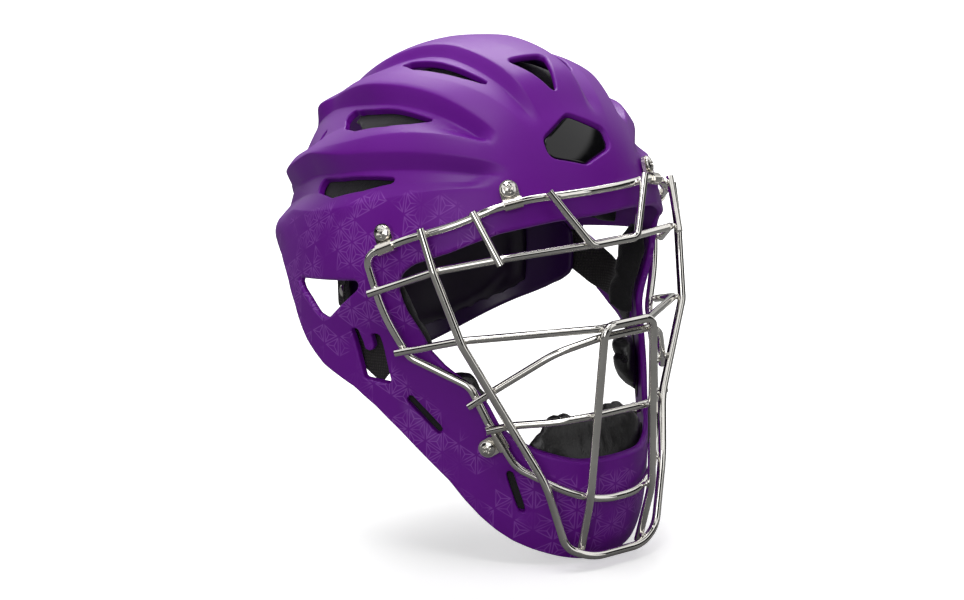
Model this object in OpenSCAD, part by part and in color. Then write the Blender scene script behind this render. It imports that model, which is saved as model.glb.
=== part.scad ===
// Softball catcher helmet: a ribbed shell, a welded wire face cage held by clips,
// foam pads, and a back plate that slides on elastic straps.
// The face looks along -Y, +X is the wearer's left, +Z is up.
// The origin is the centre of the wearer's head, between the ears.

/* [Shell] */
// Half width of the shell over the ears
shell_half_width = 112; // [108:1:117]
// Reach of the crown forward of the head centre
brow_reach = 116; // [112:1:120]
// Reach of the shell behind the head centre
rear_reach = 133; // [128:1:138]
// Height of the crown above the head centre
crown_height = 148; // [143:1:154]
// Reach of the flat cheeks, square to them
cheek_reach = 98; // [94:1:102]
// Reach of the flat chin forward of the head centre
chin_reach = 124; // [120:1:128]
// Depth of the chin below the head centre
chin_depth = 137; // [133:1:141]
// Thickness of the moulded shell
wall = 4.2; // [3.6:0.1:4.8]

/* [Ribs and vents] */
// Height of the flat-topped ridge along the middle of the crown
ridge_height = 4.5; // [3:0.5:6]
// Depth of the groove beside the middle ridge
groove_depth_1 = 2; // [1:0.5:4]
// Depth of the groove below the upper side rib
groove_depth_2 = 6.5; // [5:0.5:8]
// Depth of the groove below the lower side rib
groove_depth_3 = 6; // [4:0.5:8]
// Flare of the side ribs at their rear tips
rib_flare = 4; // [2:0.5:5]
// Flare of the shell's lower rear corners
corner_flare = 2; // [0:0.5:4]
// Half height of the widest side vent
vent_half_height = 9; // [7:0.5:10]
// Depth of the seat for the front badge
badge_seat_depth = 3.8; // [3.2:0.1:4.4]
// Half width of the front badge
badge_half_width = 21.5; // [19:0.5:24]

/* [Face cage] */
// Diameter of the outer cage wires
wire_d = 4.8; // [4.2:0.1:5.4]
// Diameter of the cage's cross bars
bar_d = 4.4; // [3.8:0.1:5]
// Height of the perimeter wire's centre above the shell
wire_lift = 4.6; // [4.4:0.1:5.2]
// Half width of the middle loop at its top
loop_half_width = 18; // [15:0.5:21]

/* [Cage clips] */
// Width of the strap that wraps the wire
clip_width = 10.5; // [8:0.5:12]
// Thickness of the strap's metal
clip_metal = 1.1; // [0.9:0.1:1.3]
// Distance from the wire to the clip's screw
clip_reach = 8.5; // [8:0.5:10]
// Diameter of the screw's shank
screw_d = 4; // [3:0.5:5]
// Diameter of the screw's head
screw_head_d = 9; // [8:0.5:10]

/* [Back plate] */
// Half width of the back plate between the straps
plate_half_width = 82; // [78:1:84]
// Depth of the back plate's bowl from its front edge to its rear
plate_depth = 67; // [62:1:70]
// Thickness of the back plate
plate_thickness = 3.2; // [2.6:0.1:3.8]
// Width of the elastic straps
strap_width = 22; // [16:1:24]
// Thickness of the elastic straps
strap_thickness = 1.8; // [1.4:0.1:2.2]

/* [Pads] */
// Thickness of the crown and side pads
crown_pad_thickness = 12; // [8:1:14]
// Thickness of the ear and jaw pads
ear_pad_thickness = 17; // [12:1:19]
// Thickness of the chin pad
chin_pad_thickness = 15; // [11:1:17]
// Thickness of the back plate's pad
plate_pad_thickness = 9; // [6:1:11]

/* [Hidden] */

// Gap between pieces that seat on each other
seat_gap = 0.35;
// Gap between crossing wires at a weld
weld_gap = 0.2;
// Reach of the lower shell below the brow, before the flats cut it
lower_reach = 150;
// Depth of the whole shell form below the head centre
base_depth = 150;
// Reach of the cheek flats above the brow, where they fade out
cheek_fade = 30;
// Turn of the cheek flats away from the side
cheek_turn = 38;
// Elevations between which the lower shell turns into the crown
band_low = -6;
band_high = 32;
// Roundness of the plan, of the crown's front and rear, and of the steep lower walls
plan_round = 1.95;
front_round = 2.45;
rear_round = 2.1;
steep_round = 6;
blend_round = 12;

shell_colour = "rebeccapurple";
metal_colour = "silver";
pad_colour = [0.08, 0.08, 0.09];
strap_colour = [0.13, 0.12, 0.13];

// Blends
function clamp01(t) = max(0, min(1, t));
function smooth(t) = let (u = clamp01(t)) u * u * (3 - 2 * u);
function mix(a, b, t) = a + (b - a) * t;
function unit(v) = v / norm(v);
function mirrored(p) = [-p[0], p[1], p[2]];
function both_ways(half) = concat(half, [for (k = [len(half) - 1:-1:0]) mirrored(half[k])]);

// Distance from the head centre to the smooth shell along a unit direction
function reach(d) =
    let (
        flat = norm([d[0], d[1]]),
        elevation = atan2(d[2], flat),
        s = smooth((elevation - band_low) / (band_high - band_low)),
        long = d[1] < 0 ? mix(lower_reach, brow_reach, s) : rear_reach,
        tall = d[2] > 0 ? crown_height : base_depth,
        up_round = mix(rear_round, front_round, smooth(0.5 - d[1])),
        v_round = d[2] > 0 ? up_round : mix(up_round, steep_round, smooth(-elevation / 12)),
        oval = pow(pow(abs(d[0]) / shell_half_width, plan_round) + pow(abs(d[1]) / long, plan_round),
            1 / plan_round),
        cheek = max(abs(d[0]) * cos(cheek_turn) - d[1] * sin(cheek_turn), 0)
            / mix(cheek_reach, cheek_reach + cheek_fade, s),
        chin = max(-d[1], 0) / chin_reach,
        plan = pow(pow(oval, blend_round) + pow(cheek, blend_round) + pow(chin, blend_round),
            1 / blend_round)
    )
    pow(pow(plan, v_round) + pow(abs(d[2]) / tall, v_round), -1 / v_round);

// A direction from two angles: roll is 0 at the top and grows to the wearer's right,
// tilt is 0 straight ahead and grows to the rear
function aim(roll, tilt) = [-sin(tilt) * sin(roll), -cos(tilt), sin(tilt) * cos(roll)];
function on_shell(roll, tilt, lift = 0) = let (d = aim(roll, tilt)) d * (reach(d) + lift);
function above(p, lift = 0) = let (d = unit(p)) d * (reach(d) + lift);
function shell_normal(p) =
    let (
        q = unit(p),
        a = above(q + cross(q, [0, 0.02, 0])),
        b = above(q + cross(q, cross(q, [0, 0.02, 0]))),
        n = unit(cross(a - above(q), b - above(q)))
    )
    n * q > 0 ? n : -n;

// Ribs: each crest drops steeply to a foot, then the floor rises to the next crest
function rib_tilt(tilt) = max(47, min(140, tilt));
function crest_1(t) = 8.5 + 5.3 * smooth((t - 86) / 28);
function foot_1(t) = crest_1(t) + 2.4;
function rise_1(t) = 14.5 + 6.8 * smooth((t - 56) / 38);
function crest_2(t) = 21.4 + 4.2 * smooth((t - 54) / 44) + 1.5 * smooth((t - 116) / 10);
function foot_2(t) = crest_2(t) + 2.8;
function crest_3(t) = 45.2 - 17 * pow(max(107 - t, 0) / 52, 2.2) + 1.6 * smooth((t - 108) / 14);
function foot_3(t) = crest_3(t) + 3.2;
function rise_2(t) =
    max(foot_2(t) + 1.5, min(crest_3(t) - 0.8, 43.6 - 17.6 * pow(max(110 - t, 0) / 50, 1.7)));
function rise_3(t) =
    max(foot_3(t) + 2, 60 - 26 * pow(max(108 - t, 0) / 57, 2.1) + 3 * smooth((t - 115) / 15));
// Heights of the three crests and the floors below them, from the smooth form
function high_1(t) = ridge_height * smooth((t - 57) / 12) * (1 - 0.85 * smooth((t - 88) / 28));
function high_2(t) = (1.5 * smooth((t - 64) / 14) + 1.5 * smooth((t - 84) / 20)
    + rib_flare * smooth((t - 116) / 8)) * (1 - smooth((t - 124) / 6));
function high_3(t) = (0.5 * smooth((t - 50) / 14) + 1.1 * rib_flare * smooth((t - 90) / 22))
    * (1 - smooth((t - 131) / 7));
function low_1(t) = -groove_depth_1 * (smooth((t - 55.5) / 6) + 0.75 * smooth((t - 85) / 25));
function low_2(t) = -groove_depth_2 * smooth((t - 58.5) / 5) * (1 - 0.9 * smooth((t - 98) / 27));
function low_3(t) = -groove_depth_3 * smooth((t - 50) / 8) * (1 - 0.35 * smooth((t - 108) / 24));
function corner_height(roll, tilt) = corner_flare * smooth((tilt - 110) / 20) * smooth((roll - 60) / 5)
    * smooth((73 - roll) / 6);

// Heights of the groove floors, as shares of their depth at the foot, in front and at the rear
floor_share = 0.62;
rear_floor_share = 1.05;
// Height of the middle groove's floor at the rear
rear_floor = -2.6;
// How far the groove floors have changed from their front shape to the rear one
function rearward(t) = smooth((t - 100) / 25);

// Lengthwise lines of one side of the shell from the top to the bottom, as [roll, height].
// shift moves the steep walls up, so that the inner face keeps its distance from the outer one.
side_lines = 17;
function half_lines(tilt, shift) =
    let (
        t = rib_tilt(tilt),
        r3 = rise_3(t),
        back = rearward(t),
        h1 = high_1(t),
        h2 = high_2(t),
        h3 = high_3(t),
        f1 = low_1(t),
        f2 = low_2(t),
        f3 = low_3(t)
    )
    concat(
        [
            [0, h1], [crest_1(t) / 2, h1 * 0.95], [crest_1(t) - shift, h1],
            [foot_1(t) - shift, f1], [rise_1(t), h2 * 0.4],
            [crest_2(t) - shift, h2], [foot_2(t) - shift, f2],
            [mix(foot_2(t), rise_2(t), mix(0.5, 0.8, back)), mix(f2 * floor_share, rear_floor, back)],
            [rise_2(t), h3 * 0.7],
            [crest_3(t) - shift, h3], [foot_3(t) - shift, f3],
            [mix(foot_3(t), r3, 0.5), f3 * mix(floor_share, rear_floor_share, back)],
            [r3, corner_height(r3, tilt)]
        ],
        [for (k = [1:side_lines])
            let (roll = mix(r3, 180, k / side_lines)) [roll, corner_height(roll, tilt)]]
    );
function ring(tilt, inset, shift) =
    let (lines = half_lines(tilt, shift), n = len(lines))
    [for (k = [0:2 * n - 3])
        let (i = k < n ? k : 2 * n - 2 - k, side = k < n ? 1 : -1)
        on_shell(side * lines[i][0], tilt, lines[i][1] - inset)];

// A closed ball-like solid through rings of points, with a point at each end
module ringed_solid(rings, first, last) {
    n = len(rings[0]);
    m = len(rings);
    points = concat([first], [for (r = rings, p = r) p], [last]);
    faces = concat(
        [for (j = [0:n - 1]) [0, 1 + (j + 1) % n, 1 + j]],
        [for (i = [0:m - 2], j = [0:n - 1], half = [0, 1])
            let (
                a = 1 + i * n + j,
                b = 1 + i * n + (j + 1) % n,
                c = b + n,
                d = a + n
            )
            half == 0 ? [a, b, c] : [a, c, d]],
        [for (j = [0:n - 1])
            [1 + (m - 1) * n + j, 1 + (m - 1) * n + (j + 1) % n, 1 + m * n]]
    );
    polyhedron(points, faces);
}

// Tilts of the shell's cross lines
first_tilt = 20;
last_tilt = 152;
outer_rows = 36;
inner_rows = 26;
// Roll that matches the wall's thickness at the crown
wall_roll = 0.85 * wall / crown_height * 180 / PI;
module shell_form(rows, inset, shift) {
    ringed_solid(
        [for (k = [0:rows]) ring(mix(first_tilt, last_tilt, k / rows), inset, shift)],
        on_shell(0, 0, -inset),
        on_shell(0, 180, -inset)
    );
}

// Turns a drawing in the (y, z) plane into a bar along X
module side_cut(outline, half_length = 200) {
    rotate([90, 0, 90])
        linear_extrude(2 * half_length, center = true)
            polygon(outline);
}

// Face opening, seen from the side: brow, temple corner, cheek, jaw, chin
face_brow_z = 66;
face_outline = [
    [-200, face_brow_z], [-103, face_brow_z], [-90, 61], [-72, 50], [-56, 42.5],
    [-50, 37], [-47.5, 28], [-49, 14], [-54, -9], [-62, -19], [-77, -33], [-82, -41],
    [-87, -53], [-94, -60], [-104, -66], [-118, -72], [-200, -72]
];
// Everything below and behind the shell's lower edge
rim_outline = [
    [-200, -chin_depth], [-109, -chin_depth], [-107, -chin_depth + 4.5], [-101, -chin_depth + 8.5],
    [-95, -125], [-88.5, -120.5], [-82, -114], [-76, -106.5], [-69, -96], [-63, -86], [-54, -75],
    [-40, -58], [-28, -45], [-16, -35], [-6, -30], [5, -25], [14, -19], [21, -14], [27, -8], [32, -2],
    [36, 4], [42, 10], [47, 16], [54, 21], [63, 26], [77, 29], [90, 33], [99, 42], [103, 55],
    [106, 68], [112, 80], [122, 92], [135, 100], [200, 106],
    [200, -200], [-200, -200]
];
// Three-cornered ear hole
ear_hole = [
    [28.5, 21.5], [-2, 26], [-21, 28.8], [-23.3, 27.8], [-23.6, 25.5], [-22, 23], [-18.5, 20],
    [-9.8, 12.5], [-0.8, 4.2], [1, 3.5], [3.5, 3.8], [9, 5.2], [18.2, 12], [26.5, 16.7], [29.6, 19.5]
];
// Strap window: two slots joined at their lower ends round a tongue
strap_window = [
    [-15, 0], [-19.5, 0], [-23, -12], [-28, -12], [-26.5, -2], [-31, -2], [-36.5, -31], [-22.5, -29]
];

// A stub that stands square on the shell along the line from the head centre
module stub(roll, tilt, radius, low, high) {
    p = on_shell(roll, tilt);
    d = unit(p);
    multmatrix(frame_matrix(p, d, [0, 1, 0]))
        translate([0, 0, low])
            cylinder(h = high - low, r = radius, $fn = 12);
}
function frame_matrix(origin, z_axis, hint) =
    let (x = unit(cross(hint, z_axis)), y = cross(z_axis, x))
    [
        [x[0], y[0], z_axis[0], origin[0]],
        [x[1], y[1], z_axis[1], origin[1]],
        [x[2], y[2], z_axis[2], origin[2]],
        [0, 0, 0, 1]
    ];
// A slot that runs through [roll, tilt, radius] stations
module slot(stations, low = -30, high = 12) {
    for (k = [0:len(stations) - 2])
        hull()
            for (s = [stations[k], stations[k + 1]])
                stub(s[0], s[1], s[2], low, high);
}

// Vents below the three walls and the rear strap slot, for one side
module side_vents() {
    h = vent_half_height;
    slot([
        [13, 72.5, 0.2 * h], [14.2, 77, 0.42 * h], [15.2, 84, 0.62 * h], [16.1, 90, 0.71 * h],
        [15.9, 96, 0.38 * h]
    ]);
    slot([
        [28.3, 75.5, 0.13 * h], [30.2, 80, 0.51 * h], [31.9, 86, 0.84 * h], [33.6, 95, h],
        [33.2, 100, 0.89 * h], [31.8, 103.5, 0.5 * h]
    ]);
    slot([[46, 76, 0.21 * h], [49.1, 84, 0.51 * h], [51.9, 95, 0.71 * h], [51.6, 103, 0.51 * h]]);
    slot([[36.5, 113, 1.6], [39.6, 114, 1.6]]);
}
// Three-cornered vent in the middle ridge
module crown_vent() {
    hull()
        for (s = [[0, 63.6, 2.2], [3.7, 73, 3.2], [-3.7, 73, 3.2]])
            stub(s[0], s[1], s[2], -30, 20);
}
// Jaw slots, each at the bottom of a shallow dish, for one side
jaw_slot_upper = [[114.5, 64.8, 2.2], [126, 58.6, 2.2]];
jaw_slot_lower = [[147.5, 46.6, 2.2], [155, 49.4, 2.2]];
dish_depth = 1.4;
dish_margin = 3;
module jaw_slots() {
    for (s = [jaw_slot_upper, jaw_slot_lower]) {
        slot(s);
        slot([for (q = s) [q[0], q[1], q[2] + dish_margin]], -dish_depth);
    }
}

// Badge: a domed hexagon with round corners at the bottom of a deep seat, square to the shell
badge_tilt = 49.8;
badge_corner = 5;
badge_up = 10.5;
badge_down = -8;
badge_side_up = 1.5;
badge_side_down = -2.2;
badge_dome = 112;
badge_thickness = 1.4;
// Shell left under the badge, and its reach past the seat
badge_backing = 2;
badge_backing_margin = 3;
// Depth of the dome's edge below its middle, and the height and spread of the seat's wall
dome_drop = 2.6;
seat_rise = 12;
seat_spread = 1.15;
badge_origin = on_shell(0, badge_tilt);
badge_normal = shell_normal(badge_origin);
module badge_outline(margin) {
    side = badge_half_width - badge_corner;
    hull()
        for (p = [[0, badge_up], [side, badge_side_up], [side, badge_side_down], [0, badge_down],
                [-side, badge_side_down], [-side, badge_side_up]])
            translate(p)
                circle(badge_corner + margin, $fn = 32);
}
// The space above a dome that lies at a depth below the shell
module above_dome(margin, depth, spread = 1) {
    multmatrix(frame_matrix(badge_origin, badge_normal, [0, 0, 1]))
        difference() {
            translate([0, 0, -depth - dome_drop])
                linear_extrude(seat_rise, scale = spread)
                    badge_outline(margin);
            translate([0, 0, -badge_dome - depth])
                rotate([90, 0, 0])
                    sphere(badge_dome, $fn = 96);
        }
}

module shell() {
    color(shell_colour)
        difference() {
            shell_form(outer_rows, 0, 0);
            difference() {
                shell_form(inner_rows, wall, wall_roll);
                above_dome(badge_backing_margin, badge_seat_depth + badge_backing);
            }
            side_cut(face_outline);
            side_cut(rim_outline);
            side_cut(ear_hole);
            side_cut(strap_window);
            for (side = [0, 1])
                mirror([side, 0, 0]) {
                    side_vents();
                    jaw_slots();
                    for (c = clip_places)
                        clip_frame(c)
                            translate([0, clip_reach, -40])
                                cylinder(h = 80, d = screw_d + 2 * seat_gap, $fn = 16);
                }
            crown_vent();
            above_dome(seat_gap, badge_seat_depth, seat_spread);
        }
}

module badge_plate() {
    depth = badge_seat_depth - seat_gap;
    color([0.03, 0.03, 0.04])
        difference() {
            above_dome(0, depth);
            above_dome(1, depth - badge_thickness);
        }
}

// Cage wires: straight runs, a hair thinner than the bends, end just inside them
run_step = 0.02;
run_lap = 0.25;
function turn_at(pts, k) =
    let (a = unit(pts[k] - pts[k - 1]), b = unit(pts[k + 1] - pts[k])) acos(min(1, a * b));
function setback(pts, k, r) =
    let (
        room = 0.46 * min(norm(pts[k] - pts[k - 1]), norm(pts[k + 1] - pts[k])),
        wanted = r * tan(turn_at(pts, k) / 2)
    )
    min(room, wanted);
module rod(from, to, d, lap_from = 0, lap_to = 0) {
    v = to - from;
    hint = abs(unit(v)[2]) > 0.9 ? [0, 1, 0] : [0, 0, 1];
    multmatrix(frame_matrix(from, unit(v), hint))
        translate([0, 0, -lap_from])
            cylinder(h = norm(v) + lap_from + lap_to, d = d, $fn = 24);
}
module bend(pts, k, d, r) {
    a = unit(pts[k] - pts[k - 1]);
    b = unit(pts[k + 1] - pts[k]);
    turn = turn_at(pts, k);
    back = setback(pts, k, r);
    radius = back / tan(turn / 2);
    centre = pts[k] + unit(b - a) * radius / cos(turn / 2);
    x = unit(pts[k] - a * back - centre);
    z = cross(x, a);
    multmatrix([
        [x[0], a[0], z[0], centre[0]],
        [x[1], a[1], z[1], centre[1]],
        [x[2], a[2], z[2], centre[2]],
        [0, 0, 0, 1]
    ])
        rotate_extrude(angle = turn, $fn = 96)
            translate([radius, 0])
                circle(d = d, $fn = 24);
}
// stations holds [point, bend radius] in order along the wire
module wire(stations, d) {
    pts = [for (s = stations) s[0]];
    last = len(pts) - 1;
    backs = [for (k = [0:last]) k == 0 || k == last ? 0 : setback(pts, k, stations[k][1])];
    for (k = [0:last - 1]) {
        along = unit(pts[k + 1] - pts[k]);
        rod(pts[k] + along * backs[k], pts[k + 1] - along * backs[k + 1], d - 2 * run_step,
            k == 0 ? 0 : run_lap, k == last - 1 ? 0 : run_lap);
    }
    for (k = [1:last - 1])
        bend(pts, k, d, stations[k][1]);
}
function mirrored_stations(half) =
    concat(half, [for (k = [len(half) - 1:-1:0]) [mirrored(half[k][0]), half[k][1]]]);

// The perimeter wire lies on the shell round the face opening: [roll, tilt, bend radius]
perimeter_path = [
    [9, 37.4, 60], [19, 39.2, 60], [28.5, 42.6, 60], [39.5, 47.6, 60], [51, 54.2, 60], [59.5, 63.8, 60],
    [67.4, 74.6, 8],
    [83, 68.5, 120], [98, 62, 12], [112, 44.3, 12], [128, 43.2, 60], [144.5, 43.1, 20],
    [160, 38.6, 50], [172, 37.2, 60]
];
// The wire stands a little higher round the chin, where its runs are longer
chin_lift = 1.4;
function lift_at(roll) = wire_lift + chin_lift * smooth((roll - 135) / 25);
perimeter = [for (s = perimeter_path) [on_shell(s[0], s[1], lift_at(s[0])), s[2]]];
function along_perimeter(k, t) = mix(perimeter[k][0], perimeter[k + 1][0], t);
function perimeter_heading(k) = unit(perimeter[k + 1][0] - perimeter[k][0]);

// A point beside p, clear of a wire with heading u, for a wire with heading v
function beside(p, u, v, offset) =
    let (n = unit(cross(u, v)), side = n * p > 0 ? 1 : -1) p + n * side * offset;
wire_over_wire = wire_d + weld_gap;
bar_over_wire = (wire_d + bar_d) / 2 + weld_gap;
bar_over_bar = bar_d + weld_gap;
// More room for a wire that is welded where the perimeter wire bends
wire_over_bend = wire_over_wire + 0.4;
bar_over_bend = bar_over_wire + 0.4;
// How far a wire's end runs past the wire that it is welded to
wire_tail = 2.8;
function past(end, from) = end + unit(end - from) * wire_tail;
// The seat on the outside of the perimeter wire for a wire that comes from a point
function seat_on_wire(k, t, from, offset) =
    let (p = along_perimeter(k, t))
    beside(p, perimeter_heading(k), unit(p - from), offset);

// Main loop: from the brow down past the eyes and round below the chin
main_cheek = on_shell(90, 44, 19);
main_temple = on_shell(66.4, 54.2, 7.8);
main_jaw = on_shell(131.3, 37.7, 9.2);
main_corner = on_shell(164.2, 46.5, 14);
main_bottom = on_shell(171.6, 45.9, 13.5);
main_top = seat_on_wire(4, 0.62, main_temple, wire_over_wire);
main_low = seat_on_wire(11, 0.58, main_corner, wire_over_bend);
main_loop = [
    [past(main_top, main_temple), 0], [main_temple, 10], [main_cheek, 14], [main_jaw, 60],
    [main_low, 60], [main_corner, 14], [main_bottom, 60]
];

// Centre loop: an upside-down U in front of the nose and mouth
loop_top = [-loop_half_width, -132.2, 9];
centre_cross = seat_on_wire(12, 0.58, loop_top, wire_over_bend);
loop_low = beside(mix(main_corner, main_bottom, 0.65), unit(main_bottom - main_corner),
    unit(loop_top - centre_cross), -wire_over_wire);
centre_loop = [[past(loop_low, centre_cross), 0], [centre_cross, 60], [loop_top, 7]];
function on_loop(z) = mix(loop_top, centre_cross, (loop_top[2] - z) / (loop_top[2] - centre_cross[2]));
loop_run = unit(centre_cross - loop_top);

// Eye bar: across the brow, under the main loop, out to the temples
eye_side = on_shell(52.3, 39, 4.2);
eye_mid = [-17, -115, 52];
eye_cross = beside(main_temple, unit(main_cheek - main_top), unit(eye_side - along_perimeter(6, 0.5)),
    -bar_over_wire);
eye_end = seat_on_wire(6, 0.6, eye_cross, bar_over_wire);
eye_bar = [[past(eye_end, eye_cross), 0], [eye_cross, 14], [eye_side, 16], [eye_mid, 12]];

// Brow loop: a tapered loop from the brow wire down over the eye bar
brow_low = eye_mid + [0.5, -bar_over_bar, 0.6];
brow_high = seat_on_wire(1, 0.35, brow_low, bar_over_wire);
brow_loop = [[past(brow_high, brow_low), 0], [brow_low, 6]];

// Short stays from the brow wire to the eye bar
stay_eye = mix(eye_side, eye_cross, 0.06);
stay_high = seat_on_wire(3, 0.45, stay_eye, bar_over_wire);
stay_low = beside(stay_eye, unit(eye_side - eye_cross), unit(stay_high - stay_eye), bar_over_bar);

// Cheek bar: from the cheek corner, under the main loop, to the top of the centre loop
cheek_mid = beside(on_loop(6.5), loop_run, [1, 0, 0], -bar_over_wire);
cheek_cross = beside(mix(main_cheek, main_temple, 0.04), unit(main_temple - main_cheek),
    unit(cheek_mid - along_perimeter(7, 0.8)), -bar_over_wire);
cheek_end = seat_on_wire(7, 0.8, cheek_cross, bar_over_wire);
cheek_bar = [[past(cheek_end, cheek_cross), 0], [cheek_cross, 14], [cheek_mid, 8]];

// Mouth bar: from the jaw up to just below the cheek bar
mouth_mid = beside(on_loop(1.2), loop_run, [1, 0, 0], -bar_over_wire);
mouth_cross = beside(mix(main_cheek, main_jaw, 0.6), unit(main_jaw - main_cheek),
    unit(mouth_mid - along_perimeter(9, 0.35)), -bar_over_wire);
mouth_end = seat_on_wire(9, 0.38, mouth_cross, bar_over_bend);
mouth_bow = mix(mouth_cross, mouth_mid, 0.55) + [0, -4, 6];
mouth_bar = [
    [past(mouth_end, mouth_cross), 0], [mouth_cross, 14], [mouth_bow, 50], [mouth_mid, 8]
];

// Chin bar: from the jaw across behind the centre loop
chin_mid = beside(on_loop(-44), loop_run, [1, 0, 0], -bar_over_wire);
chin_cross = beside(main_jaw, unit(main_low - main_cheek), unit(chin_mid - along_perimeter(10, 0.1)),
    -bar_over_wire);
chin_end = seat_on_wire(10, 0.1, chin_cross, bar_over_bend);
chin_bow = mix(chin_cross, chin_mid, 0.5) + [0, -4, 0];
chin_bar = [[past(chin_end, chin_cross), 0], [chin_cross, 14], [chin_bow, 50], [chin_mid, 10]];

module cage_perimeter() {
    color(metal_colour) {
        closed = mirrored_stations(perimeter);
        pts = [for (s = closed) s[0]];
        n = len(pts);
        loop_pts = concat([pts[n - 1]], pts, [pts[0], pts[1]]);
        radii = concat([closed[n - 1][1]], [for (s = closed) s[1]], [closed[0][1]]);
        for (k = [1:n]) {
            next_back = setback(loop_pts, k + 1, radii[k + 1]);
            back = setback(loop_pts, k, radii[k]);
            along = unit(loop_pts[k + 1] - loop_pts[k]);
            rod(loop_pts[k] + along * back, loop_pts[k + 1] - along * next_back,
                wire_d - 2 * run_step, run_lap, run_lap);
            bend(loop_pts, k, wire_d, radii[k]);
        }
    }
}
module cage_main_loop() {
    color(metal_colour) wire(mirrored_stations(main_loop), wire_d);
}
module cage_centre_loop() {
    color(metal_colour) wire(mirrored_stations(centre_loop), wire_d);
}
module cage_brow_loop() {
    color(metal_colour) wire(mirrored_stations(brow_loop), bar_d);
}
module cage_eye_bar() {
    color(metal_colour) wire(mirrored_stations(eye_bar), bar_d);
}
module cage_cheek_bar() {
    color(metal_colour) wire(mirrored_stations(cheek_bar), bar_d);
}
module cage_mouth_bar() {
    color(metal_colour) wire(mirrored_stations(mouth_bar), bar_d);
}
module cage_chin_bar() {
    color(metal_colour) wire(mirrored_stations(chin_bar), bar_d);
}
module cage_stays() {
    color(metal_colour)
        for (side = [0, 1])
            mirror([side, 0, 0])
                rod(past(stay_low, stay_high), past(stay_high, stay_low), bar_d);
}

// Clips: [perimeter station, share of the way to the next]
clip_places = [[2, 0.5], [5, 0.5], [10, 0.41]];
// Origin and axes of a clip: -x along the wire, y to the screw, z square to the shell there
function clip_axes(place) =
    let (
        p = along_perimeter(place[0], place[1]),
        x = -perimeter_heading(place[0]),
        y0 = unit(cross(shell_normal(p), x)),
        n = shell_normal(p + y0 * clip_reach),
        z = unit(n - x * (n * x)),
        y = cross(z, x)
    )
    [p, x, y, z];
module clip_frame(place) {
    f = clip_axes(place);
    multmatrix([
        [f[1][0], f[2][0], f[3][0], f[0][0]],
        [f[1][1], f[2][1], f[3][1], f[0][1]],
        [f[1][2], f[2][2], f[3][2], f[0][2]],
        [0, 0, 0, 1]
    ])
        children();
}
// Height of the shell under the clip's screw, in the clip's frame
function clip_floor(place) =
    let (f = clip_axes(place)) (above(f[0] + f[2] * clip_reach) - f[0]) * f[3];
sleeve_bore = wire_d + 0.2;
sleeve_d = sleeve_bore + 2 * clip_metal;
tab_thickness = 2 * clip_metal;
tab_seat = 3.2 * seat_gap;
module clip(place) {
    floor_z = clip_floor(place) + tab_seat;
    clip_frame(place)
        difference() {
            union() {
                rotate([0, 90, 0]) cylinder(h = clip_width, d = sleeve_d, center = true, $fn = 48);
                translate([-clip_width / 2, 0, floor_z])
                    cube([clip_width, clip_reach, tab_thickness]);
                translate([0, clip_reach, floor_z])
                    cylinder(h = tab_thickness, d = clip_width, $fn = 48);
            }
            rotate([0, 90, 0]) cylinder(h = 2 * clip_width, d = sleeve_bore, center = true, $fn = 48);
            translate([0, clip_reach, floor_z - 1])
                cylinder(h = tab_thickness + 2, d = screw_d + 0.4, $fn = 32);
        }
}
module cage_clips() {
    color(metal_colour)
        for (side = [0, 1], c = clip_places)
            mirror([side, 0, 0]) clip(c);
}
// Pan-head screw through the clip and the shell
head_height = 2.8;
nut_height = 3;
nut_seat = 4 * seat_gap;
screw_end = 0.4;
module clip_screw(place) {
    floor_z = clip_floor(place) + tab_seat;
    foot_z = clip_floor(place) - wall - nut_seat - nut_height - screw_end;
    top_z = floor_z + tab_thickness + 0.1;
    head_r = screw_head_d / 2;
    clip_frame(place)
        translate([0, clip_reach, 0])
            rotate_extrude($fn = 48)
                polygon(concat(
                    [[0, foot_z], [screw_d / 2, foot_z], [screw_d / 2, top_z], [head_r, top_z]],
                    [for (a = [15:15:90]) [head_r * cos(a * 0.9), top_z + 0.7 + (head_height - 0.7) * sin(a)]],
                    [[0, top_z + head_height]]
                ));
}
module clip_screws() {
    color([0.85, 0.83, 0.8])
        for (side = [0, 1], c = clip_places)
            mirror([side, 0, 0]) clip_screw(c);
}
nut_d = 8.5;
module clip_nut(place) {
    under_z = clip_floor(place) - wall - nut_seat;
    clip_frame(place)
        translate([0, clip_reach, under_z - nut_height])
            difference() {
                cylinder(h = nut_height, d = nut_d, $fn = 48);
                translate([0, 0, -1]) cylinder(h = nut_height + 2, d = screw_d + 0.1, $fn = 48);
            }
}
module clip_nuts() {
    color([0.6, 0.6, 0.62])
        for (side = [0, 1], c = clip_places)
            mirror([side, 0, 0]) clip_nut(c);
}

// A closed patch between an outer and an inner grid of points, both [row][column]
module patch(outer, inner) {
    m = len(outer);
    n = len(outer[0]);
    points = concat([for (r = outer, p = r) p], [for (r = inner, p = r) p]);
    o = m * n;
    faces = concat(
        [for (a = [0:m - 2], b = [0:n - 2], f = [0:3])
            let (p = a * n + b, q = p + 1, r = q + n, s = p + n)
            [[p, q, r], [p, r, s], [o + p, o + r, o + q], [o + p, o + s, o + r]][f]],
        [for (b = [0:n - 2], f = [0:3])
            let (p = b, q = b + 1, r = (m - 1) * n + b + 1, s = (m - 1) * n + b)
            [[q, p, o + p], [q, o + p, o + q], [s, r, o + r], [s, o + r, o + s]][f]],
        [for (a = [0:m - 2], f = [0:3])
            let (p = a * n, s = p + n, q = a * n + n - 1, r = q + n)
            [[p, s, o + s], [p, o + s, o + p], [r, q, o + q], [r, o + q, o + r]][f]]
    );
    polyhedron(points, faces);
}

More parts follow.
